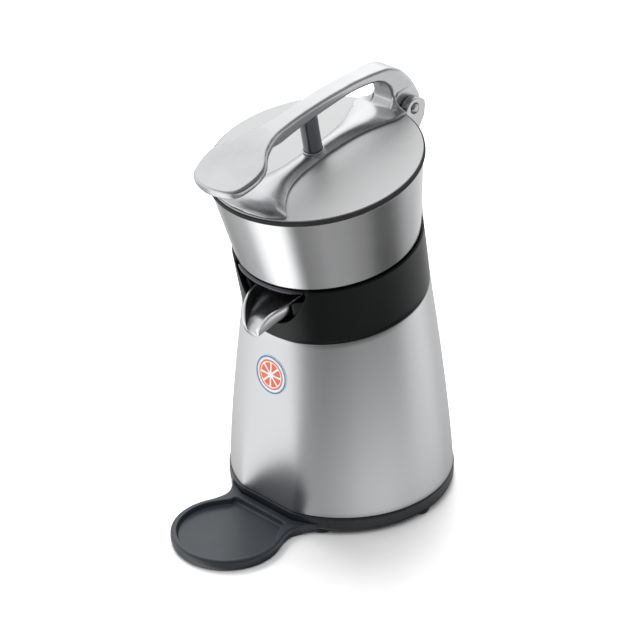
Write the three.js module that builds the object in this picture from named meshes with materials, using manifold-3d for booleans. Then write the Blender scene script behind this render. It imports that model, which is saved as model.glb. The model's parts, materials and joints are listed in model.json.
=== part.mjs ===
// Lever-operated citrus press juicer, in millimetres, +Z up, front towards -Y.
//
// The machine stands on a round base. Its head (collar, bowl, lid, lever and drive) is
// modelled square to its own axis, in a group that leans forward by HEAD_TILT.

import * as THREE from 'three';
import { mergeVertices } from 'three/addons/utils/BufferGeometryUtils.js';
import Module from 'manifold-3d';

const wasm = await Module();
wasm.setup();

// ---------------------------------------------------------------- driving dimensions

const BASE_RADIUS = 100;
const FOOT_HEIGHT = 4.5;
const BASE_TOP = 17.7;
const HEAD_TILT = THREE.MathUtils.degToRad(11.5);
const HEAD_ORIGIN_Z = 153.3;
const GAP = 0.3;

// Heights in the head are measured along its leaning axis.
const COLLAR_BOTTOM = 41.7;
const COLLAR_TOP = 95.8;
const COLLAR_RADIUS = 80.7;
const BOWL_BOTTOM = 96.3;
const BOWL_BOTTOM_RADIUS = 79.5;
const BOWL_RIM = 168.7;
const BOWL_RIM_RADIUS = 89.2;
const LID_TOP = 174.7;
const LID_RADIUS = 90.9;
const LID_THICKNESS = 2.2;
const LID_EDGE = 1.3;

// The lever turns on a pin behind the bowl.
const PIN_Y = 101.9;
const PIN_HEIGHT = 169.8;
const PIN_RADIUS = 4.2;
const EAR_INNER = 12.5;
const EAR_OUTER = 20;

// The drip tray is a dish in front of the base.
const TRAY_Y = -142.9;
const TRAY_RADIUS = 48.9;
const TRAY_RIM = 10.9;

const FRONT_Y = TRAY_Y - TRAY_RADIUS;
const CENTRE_SHIFT = -(FRONT_Y + BASE_RADIUS) / 2;

// ---------------------------------------------------------------- materials

function finish(colour, roughness, metalness) {
  return () => new THREE.MeshStandardMaterial({ color: colour, roughness, metalness });
}

const brushedSteel = finish(0xa9abad, 0.38, 1.0);
const polishedSteel = finish(0xc9cacc, 0.12, 1.0);
const castAluminium = finish(0xb9bcbd, 0.42, 0.9);
const lidSteel = finish(0xb4b6b7, 0.33, 1.0);
const blackGloss = finish(0x10191a, 0.2, 0.0);
const blackPlastic = finish(0x1b1f24, 0.5, 0.0);
const trayPlastic = finish(0x30353c, 0.45, 0.0);
const rubber = finish(0x17181a, 0.8, 0.0);
const darkSteel = finish(0x3a3d42, 0.3, 1.0);
const zincScrew = finish(0xa0a2a3, 0.35, 1.0);
const lamination = finish(0x6a6d70, 0.5, 0.9);
const whiteNylon = finish(0xd9dad4, 0.45, 0.0);
const enamel = finish(0xeeeeea, 0.25, 0.0);
const brass = finish(0xb08d4a, 0.3, 1.0);

// ---------------------------------------------------------------- solids and cuts

/** A welded copy of a closed geometry, turned so that its faces point outward. */
function closed(geometry) {
  const bare = geometry.clone();
  bare.deleteAttribute('normal');
  bare.deleteAttribute('uv');
  const welded = mergeVertices(bare, 1e-4);
  const points = welded.attributes.position;
  const index = welded.index.array;
  const [a, b, c] = [new THREE.Vector3(), new THREE.Vector3(), new THREE.Vector3()];
  const kept = [];
  let volume = 0;
  for (let i = 0; i < index.length; i += 3) {
    const [p, q, r] = [index[i], index[i + 1], index[i + 2]];
    if (p === q || q === r || r === p) continue;
    kept.push(p, q, r);
    a.fromBufferAttribute(points, p);
    b.fromBufferAttribute(points, q);
    c.fromBufferAttribute(points, r);
    volume += a.dot(b.cross(c));
  }
  if (volume < 0) kept.reverse();
  welded.setIndex(kept);
  return welded;
}

function toManifold(geometry) {
  const welded = closed(geometry);
  return new wasm.Manifold(new wasm.Mesh({
    numProp: 3,
    vertProperties: new Float32Array(welded.attributes.position.array),
    triVerts: new Uint32Array(welded.index.array),
  }));
}

function fromManifold(manifold) {
  const mesh = manifold.getMesh();
  const geometry = new THREE.BufferGeometry();
  geometry.setAttribute('position', new THREE.BufferAttribute(mesh.vertProperties, 3));
  geometry.setIndex(new THREE.BufferAttribute(mesh.triVerts, 1));
  return geometry;
}

function cut(geometry, ...tools) {
  let result = toManifold(geometry);
  for (const tool of tools) result = result.subtract(toManifold(tool));
  return fromManifold(result);
}

function join(geometry, ...others) {
  let result = toManifold(geometry);
  for (const other of others) result = result.add(toManifold(other));
  return fromManifold(result);
}

function overlap(geometry, other) {
  return fromManifold(toManifold(geometry).intersect(toManifold(other)));
}

/** A box given by its lowest and highest corners. */
function box(low, high) {
  const geometry = new THREE.BoxGeometry(high[0] - low[0], high[1] - low[1], high[2] - low[2]);
  return geometry.translate((low[0] + high[0]) / 2, (low[1] + high[1]) / 2, (low[2] + high[2]) / 2);
}

/** A solid turned about Z from [radius, height] points; a ring's profile closes on itself. */
function turned(profile, segments = 22) {
  const points = profile.map(([radius, height]) => new THREE.Vector2(radius, height));
  const onAxis = profile[0][0] === 0 && profile[profile.length - 1][0] === 0;
  if (!onAxis) points.push(points[0].clone());
  return new THREE.LatheGeometry(points, segments).rotateX(Math.PI / 2);
}

function cylinder(radius, bottom, top, segments = 16) {
  return turned([[0, bottom], [radius, bottom], [radius, top], [0, top]], segments);
}

function tube(inner, outer, bottom, top, segments = 20) {
  return turned([[inner, bottom], [outer, bottom], [outer, top], [inner, top]], segments);
}

/** A (y, z) outline pushed out along X from low to high. */
function slab(outline, low, high) {
  const shape = new THREE.Shape(outline.map(([y, z]) => new THREE.Vector2(y, z)));
  const geometry = new THREE.ExtrudeGeometry(shape, { depth: high - low, bevelEnabled: false });
  const turn = new THREE.Matrix4().set(0, 0, 1, low, 1, 0, 0, 0, 0, 1, 0, 0, 0, 0, 0, 1);
  return geometry.applyMatrix4(turn);
}

/** An (x, y) outline pushed up from bottom to top. */
function plate(outline, bottom, top) {
  const shape = new THREE.Shape(outline.map(([x, y]) => new THREE.Vector2(x, y)));
  const geometry = new THREE.ExtrudeGeometry(shape, { depth: top - bottom, bevelEnabled: false });
  return geometry.translate(0, 0, bottom);
}

/** A skin over rings of [x, y, z] points; each end is closed by a strip across its ring. */
function loft(rings) {
  const count = rings[0].length;
  const geometry = new THREE.BufferGeometry();
  geometry.setAttribute('position', new THREE.Float32BufferAttribute(rings.flat(2), 3));
  const index = [];
  for (let ring = 0; ring + 1 < rings.length; ring++) {
    for (let i = 0; i < count; i++) {
      const a = ring * count + i;
      const b = ring * count + (i + 1) % count;
      index.push(a, b, b + count, a, b + count, a + count);
    }
  }
  const lastRing = (rings.length - 1) * count;
  for (let i = 0; i < count / 2 - 1; i++) {
    const [a, b, c, d] = [i, i + 1, count - 2 - i, count - 1 - i];
    index.push(a, c, b, a, d, c);
    index.push(lastRing + a, lastRing + b, lastRing + c, lastRing + a, lastRing + c, lastRing + d);
  }
  geometry.setIndex(index);
  return geometry;
}

function mix(low, high, part) {
  return low + (high - low) * part;
}

// ---------------------------------------------------------------- assembly

const machine = new THREE.Group();
machine.position.y = CENTRE_SHIFT;

const head = new THREE.Group();
head.position.z = HEAD_ORIGIN_Z;
head.rotation.x = HEAD_TILT;
machine.add(head);

/** Adds one named piece to the model. */
function piece(name, geometry, material, parent = machine) {
  const mesh = new THREE.Mesh(closed(geometry), material());
  mesh.name = name;
  parent.add(mesh);
  return mesh;
}

/** The head-axis point [x, y, height] in the machine's own frame. */
function fromHead([x, y, height]) {
  const sine = Math.sin(HEAD_TILT);
  const cosine = Math.cos(HEAD_TILT);
  return [x, y * cosine - height * sine, HEAD_ORIGIN_Z + y * sine + height * cosine];
}

/** A cylinder along X, for pins and their holes. */
function crossPin(radius, low, high, y, z, segments = 24) {
  return cylinder(radius, low, high, segments).rotateY(Math.PI / 2).translate(0, y, z);
}

// ---------------------------------------------------------------- body shell

const SHELL_RADIUS = 99;
const SHELL_WALL = 1.5;
const SHELL_SEGMENTS = 48;
const SHELL_RINGS = 4;
const SHELL_SWELL = 1.3;
const FACET_BOTTOM_Y = -93.8;
const FACET_TOP_Y = -87.2;
const FACET_TOP_Z = 178;

/** The shell's outer skin, made larger by extra, and lengthened past both ends by reach. */
function shellSolid(extra, reach) {
  const rings = [];
  for (let ring = 0; ring <= SHELL_RINGS; ring++) {
    const rise = mix(-reach, 1 + reach, ring / SHELL_RINGS);
    const taper = Math.sign(rise) * Math.abs(rise) ** SHELL_SWELL;
    const points = [];
    for (let i = 0; i < SHELL_SEGMENTS; i++) {
      const angle = ((i + 0.5) / SHELL_SEGMENTS) * 2 * Math.PI;
      const [cosine, sine] = [Math.cos(angle), Math.sin(angle)];
      const low = [cosine, sine, BASE_TOP + GAP];
      const high = fromHead([cosine, sine, COLLAR_BOTTOM - GAP]);
      const centre = fromHead([0, 0, COLLAR_BOTTOM - GAP]);
      const radius = mix(SHELL_RADIUS, COLLAR_RADIUS, taper) + extra;
      const lean = [0, 1, 2].map((axis) => mix([0, 0, low[2]][axis], centre[axis], rise));
      const spread = [0, 1, 2].map((axis) => mix([cosine, sine, 0][axis], high[axis] - centre[axis], rise));
      points.push([0, 1, 2].map((axis) => lean[axis] + spread[axis] * radius));
    }
    rings.push(points);
  }
  return loft(rings);
}

/** Everything behind the flat facet on the shell's front, moved back by inset. */
function behindFacet(inset) {
  const slope = (FACET_TOP_Y - FACET_BOTTOM_Y) / (FACET_TOP_Z - BASE_TOP);
  const frontAt = (z) => FACET_BOTTOM_Y + slope * (z - BASE_TOP) + inset;
  const [low, high] = [-60, 300];
  return slab([[frontAt(low), low], [200, low], [200, high], [frontAt(high), high]], -150, 150);
}

const PANEL = { halfWidth: 32, bottom: 24, top: 52, front: 84, back: 97.8 };
const COLUMN_SCREW = { x: 12, height: 14, headBack: 75.6, headRadius: 3.6, shankRadius: 2 };

function addShell() {
  const outside = overlap(shellSolid(0, 0), behindFacet(0));
  const inside = overlap(shellSolid(-SHELL_WALL, 0.02), behindFacet(SHELL_WALL));
  const { halfWidth, bottom, top } = PANEL;
  const opening = box([-halfWidth - GAP, 70, bottom - GAP], [halfWidth + GAP, 110, top + GAP]);
  const holes = [-1, 1].map((side) => {
    const hole = cylinder(COLUMN_SCREW.shankRadius + GAP, 60, 100, 16).rotateX(-Math.PI / 2);
    hole.translate(side * COLUMN_SCREW.x, 0, COLUMN_SCREW.height);
    return hole.rotateX(HEAD_TILT).translate(0, 0, HEAD_ORIGIN_Z);
  });
  piece('body_shell', cut(outside, inside, opening, ...holes), brushedSteel);

  const badge = cylinder(18, 0, 1.2, 40).rotateX(Math.PI / 2);
  const slope = Math.atan2(FACET_TOP_Y - FACET_BOTTOM_Y, FACET_TOP_Z - BASE_TOP);
  const badgeHeight = 140;
  const facetY = FACET_BOTTOM_Y + Math.tan(slope) * (badgeHeight - BASE_TOP);
  badge.rotateX(-slope).translate(0, facetY - GAP, badgeHeight);
  piece('badge', badge, enamel);
}

// ---------------------------------------------------------------- base

const FOOT_ANGLES = [-58, 2, 122, 182].map((degrees) => THREE.MathUtils.degToRad(degrees));
const FOOT_RING = 89;
const FOOT_RADIUS = 9;
const FOOT_SCREW_RADIUS = 1.8;

function addBase() {
  const footPlaces = FOOT_ANGLES.map((angle) => [FOOT_RING * Math.cos(angle), FOOT_RING * Math.sin(angle)]);
  const floorTop = FOOT_HEIGHT + 4;
  const rim = turned([
    [0, FOOT_HEIGHT], [BASE_RADIUS - 2.5, FOOT_HEIGHT], [BASE_RADIUS, FOOT_HEIGHT + 2.5],
    [BASE_RADIUS, BASE_TOP - 1],
    [BASE_RADIUS - 1, BASE_TOP], [BASE_RADIUS - 7, BASE_TOP], [BASE_RADIUS - 7, floorTop], [0, floorTop],
  ], SHELL_SEGMENTS);
  const screwHoles = footPlaces.map(([x, y]) => (
    cylinder(FOOT_SCREW_RADIUS + GAP, 0, 12, 8).translate(x, y, 0)
  ));
  const bossShift = 0.985;
  const bosses = footPlaces.map(([x, y]) => (
    cylinder(6, floorTop - 1, BASE_TOP - 2, 12).translate(x * bossShift, y * bossShift, 0)
  ));
  const trimmed = overlap(join(rim, ...bosses), behindFacet(-1));
  piece('base_plate', cut(trimmed, ...screwHoles), blackPlastic);

  footPlaces.forEach(([x, y], i) => {
    const foot = turned([
      [FOOT_SCREW_RADIUS + GAP, 2.4], [4.2, 2.4], [4.2, 0], [FOOT_RADIUS - 1, 0], [FOOT_RADIUS, 1],
      [FOOT_RADIUS, FOOT_HEIGHT - GAP], [FOOT_SCREW_RADIUS + GAP, FOOT_HEIGHT - GAP],
    ], 12);
    piece(`foot_${i + 1}`, foot.translate(x, y, 0), rubber);
    const screw = turned([
      [0, 0.6], [3.2, 0.6], [3.4, 2.1], [FOOT_SCREW_RADIUS, 2.1], [FOOT_SCREW_RADIUS, 11.5], [0, 11.5],
    ], 8);
    piece(`foot_screw_${i + 1}`, screw.translate(x, y, 0), zincScrew);
  });
}

// ---------------------------------------------------------------- rear panel: mains inlet and switch

const INLET = { x: -13, z: 38, halfWidth: 12, halfHeight: 8.5 };
const ROCKER = { x: 17, z: 38, halfWidth: 6.5, halfHeight: 10, pivotY: 91 };
const ROCKER_SWING = THREE.MathUtils.degToRad(18);

function addRearPanel() {
  const { halfWidth, bottom, top, front, back } = PANEL;
  const block = box([-halfWidth, front, bottom], [halfWidth, back, top]);
  const inletRoom = box(
    [INLET.x - INLET.halfWidth - GAP, front - 1, INLET.z - INLET.halfHeight - GAP],
    [INLET.x + INLET.halfWidth + GAP, back + 1, INLET.z + INLET.halfHeight + GAP],
  );
  const rockerRoom = box(
    [ROCKER.x - ROCKER.halfWidth - 0.5, front - 1, ROCKER.z - ROCKER.halfHeight - 0.7],
    [ROCKER.x + ROCKER.halfWidth + 0.5, back + 1, ROCKER.z + ROCKER.halfHeight + 0.7],
  );
  piece('rear_panel', cut(block, inletRoom, rockerRoom), blackPlastic);

  const shroud = box(
    [INLET.x - INLET.halfWidth, 74, INLET.z - INLET.halfHeight],
    [INLET.x + INLET.halfWidth, back - 0.6, INLET.z + INLET.halfHeight],
  );
  const socket = box(
    [INLET.x - INLET.halfWidth + 1.8, 79, INLET.z - INLET.halfHeight + 1.8],
    [INLET.x + INLET.halfWidth - 1.8, back + 2, INLET.z + INLET.halfHeight - 1.8],
  );
  const pins = [['line', -7, -1.6], ['neutral', 7, -1.6], ['earth', 0, 2.4]];
  const pinRoom = pins.map(([, x, z]) => (
    box([INLET.x + x - 1.3, 70, INLET.z + z - 2.3], [INLET.x + x + 1.3, 82, INLET.z + z + 2.3])
  ));
  piece('power_inlet', cut(shroud, socket, ...pinRoom), blackPlastic);
  for (const [name, x, z] of pins) {
    const pin = box([INLET.x + x - 1, 66, INLET.z + z - 2], [INLET.x + x + 1, 92, INLET.z + z + 2]);
    piece(`inlet_pin_${name}`, pin, brass);
  }

  // The rocker is drawn level and then tipped to its off position.
  const rocker = slab([
    [-3, -4], [3.5, -ROCKER.halfHeight + 0.7], [5.4, -ROCKER.halfHeight + 0.5], [4.6, 0],
    [5.4, ROCKER.halfHeight - 0.5], [3.5, ROCKER.halfHeight - 0.7], [-3, 4],
  ], ROCKER.x - ROCKER.halfWidth, ROCKER.x + ROCKER.halfWidth);
  rocker.rotateX(-ROCKER_SWING / 2).translate(0, ROCKER.pivotY, ROCKER.z);
  piece('power_rocker', rocker, blackPlastic);
}

// ---------------------------------------------------------------- motor, in the head's frame

const DECK_TOP = COLLAR_BOTTOM - 0.6;
const DECK_BOTTOM = DECK_TOP - 4;
const SHAFT_RADIUS = 6;
const STATOR_RADIUS = 50;
const DECK_SCREW_RING = 40;
const THIRD_TURN = (2 * Math.PI) / 3;

function addMotor() {
  const screwPlaces = [0, 1, 2].map((i) => [
    DECK_SCREW_RING * Math.sin(i * THIRD_TURN), -DECK_SCREW_RING * Math.cos(i * THIRD_TURN),
  ]);
  const holesAt = (low, high) => screwPlaces.map(([x, y]) => cylinder(2.8, low, high, 12).translate(x, y, 0));

  const deck = tube(18, 78.4, DECK_BOTTOM, DECK_TOP, 32);
  piece('motor_deck', cut(deck, ...holesAt(DECK_BOTTOM - 1, DECK_TOP + 1)), castAluminium, head);

  const upperTop = DECK_BOTTOM - GAP;
  const upper = turned([
    [16.3, upperTop], [STATOR_RADIUS, upperTop], [STATOR_RADIUS, 22], [STATOR_RADIUS - 5, 22],
    [STATOR_RADIUS - 5, upperTop - 4.5], [20, upperTop - 4.5], [20, upperTop - 12], [16.3, upperTop - 12],
  ]);
  piece('upper_shield', cut(upper, ...holesAt(20, 60)), castAluminium, head);
  piece('upper_bearing', tube(SHAFT_RADIUS + GAP, 16, upperTop - 11, upperTop - 1), zincScrew, head);

  piece('stator', tube(27, STATOR_RADIUS, -22, 22 - GAP), lamination, head);
  piece('rotor', tube(SHAFT_RADIUS + GAP, 26, -20, 20), lamination, head);

  const lowerBottom = -38;
  const lower = turned([
    [13.3, lowerBottom], [20, lowerBottom], [40, lowerBottom], [STATOR_RADIUS, lowerBottom + 6],
    [STATOR_RADIUS, -22 - GAP], [STATOR_RADIUS - 5, -22 - GAP], [STATOR_RADIUS - 5, lowerBottom + 9],
    [38, lowerBottom + 4], [17, lowerBottom + 4], [17, lowerBottom + 12], [13.3, lowerBottom + 12],
  ]);
  piece('lower_shield', lower, castAluminium, head);
  piece('lower_bearing', tube(SHAFT_RADIUS + GAP, 13, lowerBottom + 1, lowerBottom + 11), zincScrew, head);

  piece('motor_shaft', cylinder(SHAFT_RADIUS, -54, 100.6, 24), darkSteel, head);

  const blades = [0, 1, 2, 3, 4, 5].map((i) => (
    box([-1, 12, -52], [1, 38, -42]).rotateZ((i * Math.PI) / 3)
  ));
  const hub = tube(SHAFT_RADIUS + GAP, 14, -53, -42, 12);
  const fanDisc = tube(12, 40, -44, -42, 24);
  piece('cooling_fan', join(hub, fanDisc, ...blades), whiteNylon, head);

  screwPlaces.forEach(([x, y], i) => {
    const screw = turned([
      [0, 24], [2.5, 24], [2.5, DECK_TOP + GAP], [4.6, DECK_TOP + GAP], [4.6, DECK_TOP + 3.6],
      [0, DECK_TOP + 3.6],
    ], 12);
    piece(`deck_screw_${i + 1}`, screw.translate(x, y, 0), zincScrew, head);
  });

  const capacitor = cylinder(17, -30, 30, 32).rotateY(Math.PI / 2).translate(0, -52, FOOT_HEIGHT + 22);
  piece('run_capacitor', capacitor, whiteNylon);
  const terminalBase = box([-18, 44, FOOT_HEIGHT + 4 + GAP], [18, 60, FOOT_HEIGHT + 18]);
  const wireRoom = [-12, 0, 12].map((x) => box([x - 3, 40, 13], [x + 3, 64, 18]));
  piece('terminal_block', cut(terminalBase, ...wireRoom), whiteNylon);
}

// ---------------------------------------------------------------- collar, bowl and spout

const NOTCH = { halfWidth: 42, bottom: 57.5, top: 97 };
const BOWL_SLOPE = (BOWL_RIM_RADIUS - BOWL_BOTTOM_RADIUS) / (BOWL_RIM - BOWL_BOTTOM);
const BOWL_WALL = 1.2;
const COLLECTOR = { radius: 76.5, wall: 2.5, bottom: 60, floor: 63, chimney: 12.5 };

function addCollar() {
  const ring = turned([
    [COLLAR_RADIUS, COLLAR_BOTTOM], [COLLAR_RADIUS + 0.6, COLLAR_TOP - 1.4],
    [COLLAR_RADIUS - 0.6, COLLAR_TOP], [COLLAR_RADIUS - 2.8, COLLAR_TOP], [COLLAR_RADIUS - 3, COLLAR_BOTTOM],
  ], SHELL_SEGMENTS);
  const scoop = [];
  const steps = 20;
  for (let i = 0; i <= steps; i++) {
    const across = mix(-1, 1, i / steps);
    scoop.push([across * NOTCH.halfWidth, mix(NOTCH.bottom, NOTCH.top, Math.abs(across) ** 3)]);
  }
  scoop.push([NOTCH.halfWidth, COLLAR_TOP + 5], [-NOTCH.halfWidth, COLLAR_TOP + 5]);
  const tool = plate(scoop, 0, 60).rotateX(Math.PI / 2).translate(0, -50, 0);
  piece('collar', cut(ring, tool), blackGloss, head);
}

function addBowl() {
  const rimInner = BOWL_RIM_RADIUS - BOWL_WALL;
  const bottomInner = BOWL_BOTTOM_RADIUS - BOWL_WALL;
  piece('juice_bowl', turned([
    [BOWL_BOTTOM_RADIUS - 1, BOWL_BOTTOM], [BOWL_BOTTOM_RADIUS, BOWL_BOTTOM + 1], [BOWL_RIM_RADIUS, BOWL_RIM],
    [rimInner, BOWL_RIM], [bottomInner, BOWL_BOTTOM + 1.9], [66, BOWL_BOTTOM + 1.9], [66, BOWL_BOTTOM],
  ], SHELL_SEGMENTS), polishedSteel, head);

  const { radius, wall, bottom, floor, chimney } = COLLECTOR;
  const cup = turned([
    [radius, BOWL_BOTTOM - 0.5], [radius, bottom], [chimney - 2, bottom], [chimney - 2, 99], [chimney, 99],
    [chimney, floor], [radius - wall, floor], [radius - wall, BOWL_BOTTOM - 0.5],
  ], 36);
  const windowHalf = SPOUT_HALF_WIDTH + 0.5;
  const window = box([-windowHalf, -90, floor], [windowHalf, -50, 85]);
  const mouth = box([-NOTCH.halfWidth, -90, 79.5], [NOTCH.halfWidth, -50, 90.5]);
  const spoutStep = box([-windowHalf, -90, floor - 1.4], [windowHalf, -66, floor + 1]);
  piece('juice_collector', cut(cup, window, mouth, spoutStep), blackGloss, head);

  const pan = turned([
    [76, 98.6], [76, 100], [61, 100], [58.5, 93.2], [18, 93.2], [17, 103], [15.4, 103], [15.4, 91.6],
    [60, 91.6], [62.5, 98.6],
  ], 32);
  const slotCount = 16;
  const slots = [];
  for (let i = 0; i < slotCount; i++) {
    slots.push(box([26, -1.6, 90], [54, 1.6, 95]).rotateZ((i / slotCount) * 2 * Math.PI));
  }
  piece('strainer', cut(pan, ...slots), polishedSteel, head);

  piece('shaft_seal', tube(SHAFT_RADIUS + GAP, chimney - 2 - GAP, 90, 98, 24), rubber, head);
}

const SPOUT_HALF_WIDTH = 23;
const SPOUT_WALL = 1.8;

/** One U-shaped section of the spout, at a distance in front of the head axis. */
function spoutSection([distance, halfWidth, top, bottom]) {
  const steps = 12;
  const arc = (inset) => {
    const points = [];
    for (let i = 0; i <= steps; i++) {
      const angle = (i / steps) * Math.PI;
      const side = Math.sign(Math.cos(angle)) * Math.abs(Math.cos(angle)) ** 0.6;
      const drop = Math.sin(angle) ** 0.6;
      const depth = top - bottom - inset;
      points.push([side * (halfWidth - inset), -distance, top - drop * depth]);
    }
    return points;
  };
  return [...arc(0), ...arc(SPOUT_WALL).reverse()];
}

function addSpout() {
  const sections = [
    [50, SPOUT_HALF_WIDTH, 79.6, 63.3], [63, SPOUT_HALF_WIDTH, 79.3, 63.3], [72, 21.4, 78.9, 62.8],
    [80, 18.8, 78.4, 61.7], [86, 16.4, 77.4, 60.2], [91.3, 14, 75, 58.4], [95, 11.6, 71.3, 56.6],
    [97.6, 9.2, 67, 54.8], [99.6, 7.2, 63, 53.2], [100.6, 6, 60.5, 52.6],
  ];
  piece('spout', loft(sections.map(spoutSection)), polishedSteel, head);
}

// ---------------------------------------------------------------- drive and reamer

const REAMER_BASE = 105;
const REAMER_TOP = 147;
const REAMER_RADIUS = 35;
const REAMER_RIBS = 10;

function addReamer() {
  const levels = 5;
  const around = REAMER_RIBS * 4;
  const rings = [];
  for (let level = 0; level <= levels; level++) {
    const rise = level / levels;
    const radius = mix(REAMER_RADIUS, 2.5, rise ** 1.5);
    const groove = 0.16 * Math.sin(Math.PI * Math.min(1, rise * 1.1 + 0.12));
    const height = mix(REAMER_BASE + 4, REAMER_TOP, rise);
    const points = [];
    for (let i = 0; i < around; i++) {
      const angle = (i / around) * 2 * Math.PI;
      const reach = radius * (1 - groove * (0.5 - 0.5 * Math.cos(REAMER_RIBS * angle)));
      points.push([reach * Math.cos(angle), reach * Math.sin(angle), height]);
    }
    rings.push(points);
  }
  const skirt = cylinder(REAMER_RADIUS + 2, REAMER_BASE, REAMER_BASE + 4.5, around);
  const socket = cylinder(8.4, REAMER_BASE - 1, 128, 6);
  piece('reamer', cut(join(loft(rings), skirt), socket), whiteNylon, head);
  piece('drive_coupling', cylinder(8, 101, 127.5, 6), darkSteel, head);
}

// ---------------------------------------------------------------- hinge column

/** A half-round D section of the column at one height: [height, half width, rear y]. */
function columnSection([height, halfWidth, rear]) {
  const front = 60;
  const corner = 6;
  const right = [
    [halfWidth, front], [halfWidth, rear - corner], [halfWidth - 2, rear - 2], [halfWidth - corner, rear],
    [halfWidth * 0.4, rear + 1.6],
  ];
  const left = right.map(([x, y]) => [-x, y]).reverse();
  return [...right, ...left].map(([x, y]) => [x, y, height]);
}

function addColumn() {
  const trunk = loft([
    [-8, 17, 84], [6, 21, 90], [30, 23, 93], [55, 24, 94.5], [80, 24, 96], [123, 24, 101], [140, 22.5, 102.5],
    [149.5, EAR_OUTER, 103.8],
  ].map(columnSection));

  const bowlRoom = turned([
    [0, COLLAR_TOP + 0.5], [BOWL_BOTTOM_RADIUS + 2.4, COLLAR_TOP + 0.5],
    [BOWL_BOTTOM_RADIUS + 2.4 + BOWL_SLOPE * 64, COLLAR_TOP + 64.5], [0, COLLAR_TOP + 64.5],
  ], SHELL_SEGMENTS);
  const collarRoom = cylinder(COLLAR_RADIUS + 1.2, 20, COLLAR_TOP + 1, SHELL_SEGMENTS);
  const shellRoom = shellSolid(0.6, 0.25).translate(0, 0, -HEAD_ORIGIN_Z).rotateX(-HEAD_TILT);

  const earOutline = [[91.4, 148]];
  for (let i = 0; i <= 8; i++) {
    const angle = mix(175, 62, i / 8) * THREE.MathUtils.DEG2RAD;
    earOutline.push([PIN_Y + 10.6 * Math.cos(angle), PIN_HEIGHT + 9.2 * Math.sin(angle)]);
  }
  earOutline.push([113, 174], [115.4, 171.5], [115.4, 167], [112.8, 158], [107.5, 152.5], [103.8, 148]);
  const ears = [slab(earOutline, EAR_INNER, EAR_OUTER), slab(earOutline, -EAR_OUTER, -EAR_INNER)];
  const pinHole = crossPin(PIN_RADIUS + GAP, -40, 40, PIN_Y, PIN_HEIGHT);
  const screwHoles = [-1, 1].map((side) => (
    cylinder(COLUMN_SCREW.shankRadius + GAP, 60, 88.5, 16).rotateX(-Math.PI / 2)
      .translate(side * COLUMN_SCREW.x, 0, COLUMN_SCREW.height)
  ));
  const column = cut(trunk, bowlRoom, collarRoom, shellRoom, ...screwHoles);
  piece('hinge_column', cut(join(column, ...ears), pinHole), castAluminium, head);

  const pinEnd = EAR_OUTER + 1.6;
  const pin = turned([
    [0, -pinEnd], [PIN_RADIUS - 1.2, -pinEnd], [PIN_RADIUS, -pinEnd + 1], [PIN_RADIUS, pinEnd - 1],
    [PIN_RADIUS - 1.2, pinEnd], [0, pinEnd],
  ], 20);
  piece('hinge_pin', pin.rotateY(Math.PI / 2).translate(0, PIN_Y, PIN_HEIGHT), darkSteel, head);

  const { x, height, headBack, headRadius, shankRadius } = COLUMN_SCREW;
  [-1, 1].forEach((side, i) => {
    const screw = turned([
      [0, headBack - 3], [headRadius, headBack - 3], [headRadius, headBack], [shankRadius, headBack],
      [shankRadius, 88], [0, 88],
    ], 12);
    screw.rotateX(-Math.PI / 2).translate(side * x, 0, height);
    piece(`column_screw_${i + 1}`, screw, zincScrew, head);
  });
}

// ---------------------------------------------------------------- lid and lever

const LID_BOTTOM = LID_TOP - LID_THICKNESS;
const ROD_RADIUS = 4;
const POST_RADIUS = 7.9;
const POST_BOTTOM = 181;
const POST_TOP = 214.3;
const POST_RING = { inner: 8.2, outer: 9.2, height: 1.7 };
const LEVER_BOTTOM = LID_TOP + GAP;
const LID_SCREWS = [[0, -46], [0, 30], [-14, 76], [14, 76]];
const LID_SCREW_RADIUS = 1.9;
const LID_SCREW_REACH = 2.2;

/** A section of the bridge across the lid: [y, half width, crest height, edge height]. */
function bridgeSection([y, halfWidth, crest, edge]) {
  const steps = 8;
  const top = [];
  for (let i = 0; i <= steps; i++) {
    const across = mix(1, -1, i / steps);
    top.push([across * halfWidth, y, LEVER_BOTTOM + mix(edge, crest, 1 - across ** 2)]);
  }
  const bottom = [];
  for (let i = 0; i <= steps; i++) bottom.push([mix(-1, 1, i / steps) * halfWidth, y, LEVER_BOTTOM]);
  return [...top, ...bottom];
}

/** A section of the arm: [top y, top height, bottom y, bottom height, half width]. */
function armSection([topY, top, bottomY, bottom, halfWidth]) {
  const point = (across, down) => [across * halfWidth, mix(topY, bottomY, down), mix(top, bottom, down)];
  const right = [point(0.72, 0), point(1, 0.2), point(0.96, 0.82), point(0.7, 1)];
  const left = right.map(([x, y, z]) => [-x, y, z]).reverse();
  return [...right, ...left];
}

/** The hinge hump: its outer edge, then the rear wall of the finger gap. */
const HUMP_OUTLINE = [
  [76, LEVER_BOTTOM], [92.6, LEVER_BOTTOM], [93.5, 166], [97, 160.5], [104, 158], [113, 160.5], [118.5, 167],
  [119.6, 173], [118, 179.5], [115, 184.5], [111, 192.5], [107.5, 200], [101, 206.8], [91.2, 212.3],
  [79.6, 204.2], [84.8, 197.5], [87.4, 190], [87.2, 184], [84.6, 179.6], [80, 177.6],
];
const HUMP_HALF_WIDTH = 12;

const PADDLE_THICKNESS = 7.3;

/** A section of the thumb paddle: [y, half width, top height]. */
function paddleSection([y, halfWidth, top]) {
  const round = 1.8;
  const bottom = top - PADDLE_THICKNESS;
  const right = [
    [halfWidth * 0.86, y, top], [halfWidth, y, top - round], [halfWidth, y, bottom + round],
    [halfWidth * 0.86, y, bottom],
  ];
  const left = right.map(([x, , height]) => [-x, y, height]).reverse();
  return [...right, ...left];
}

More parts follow.
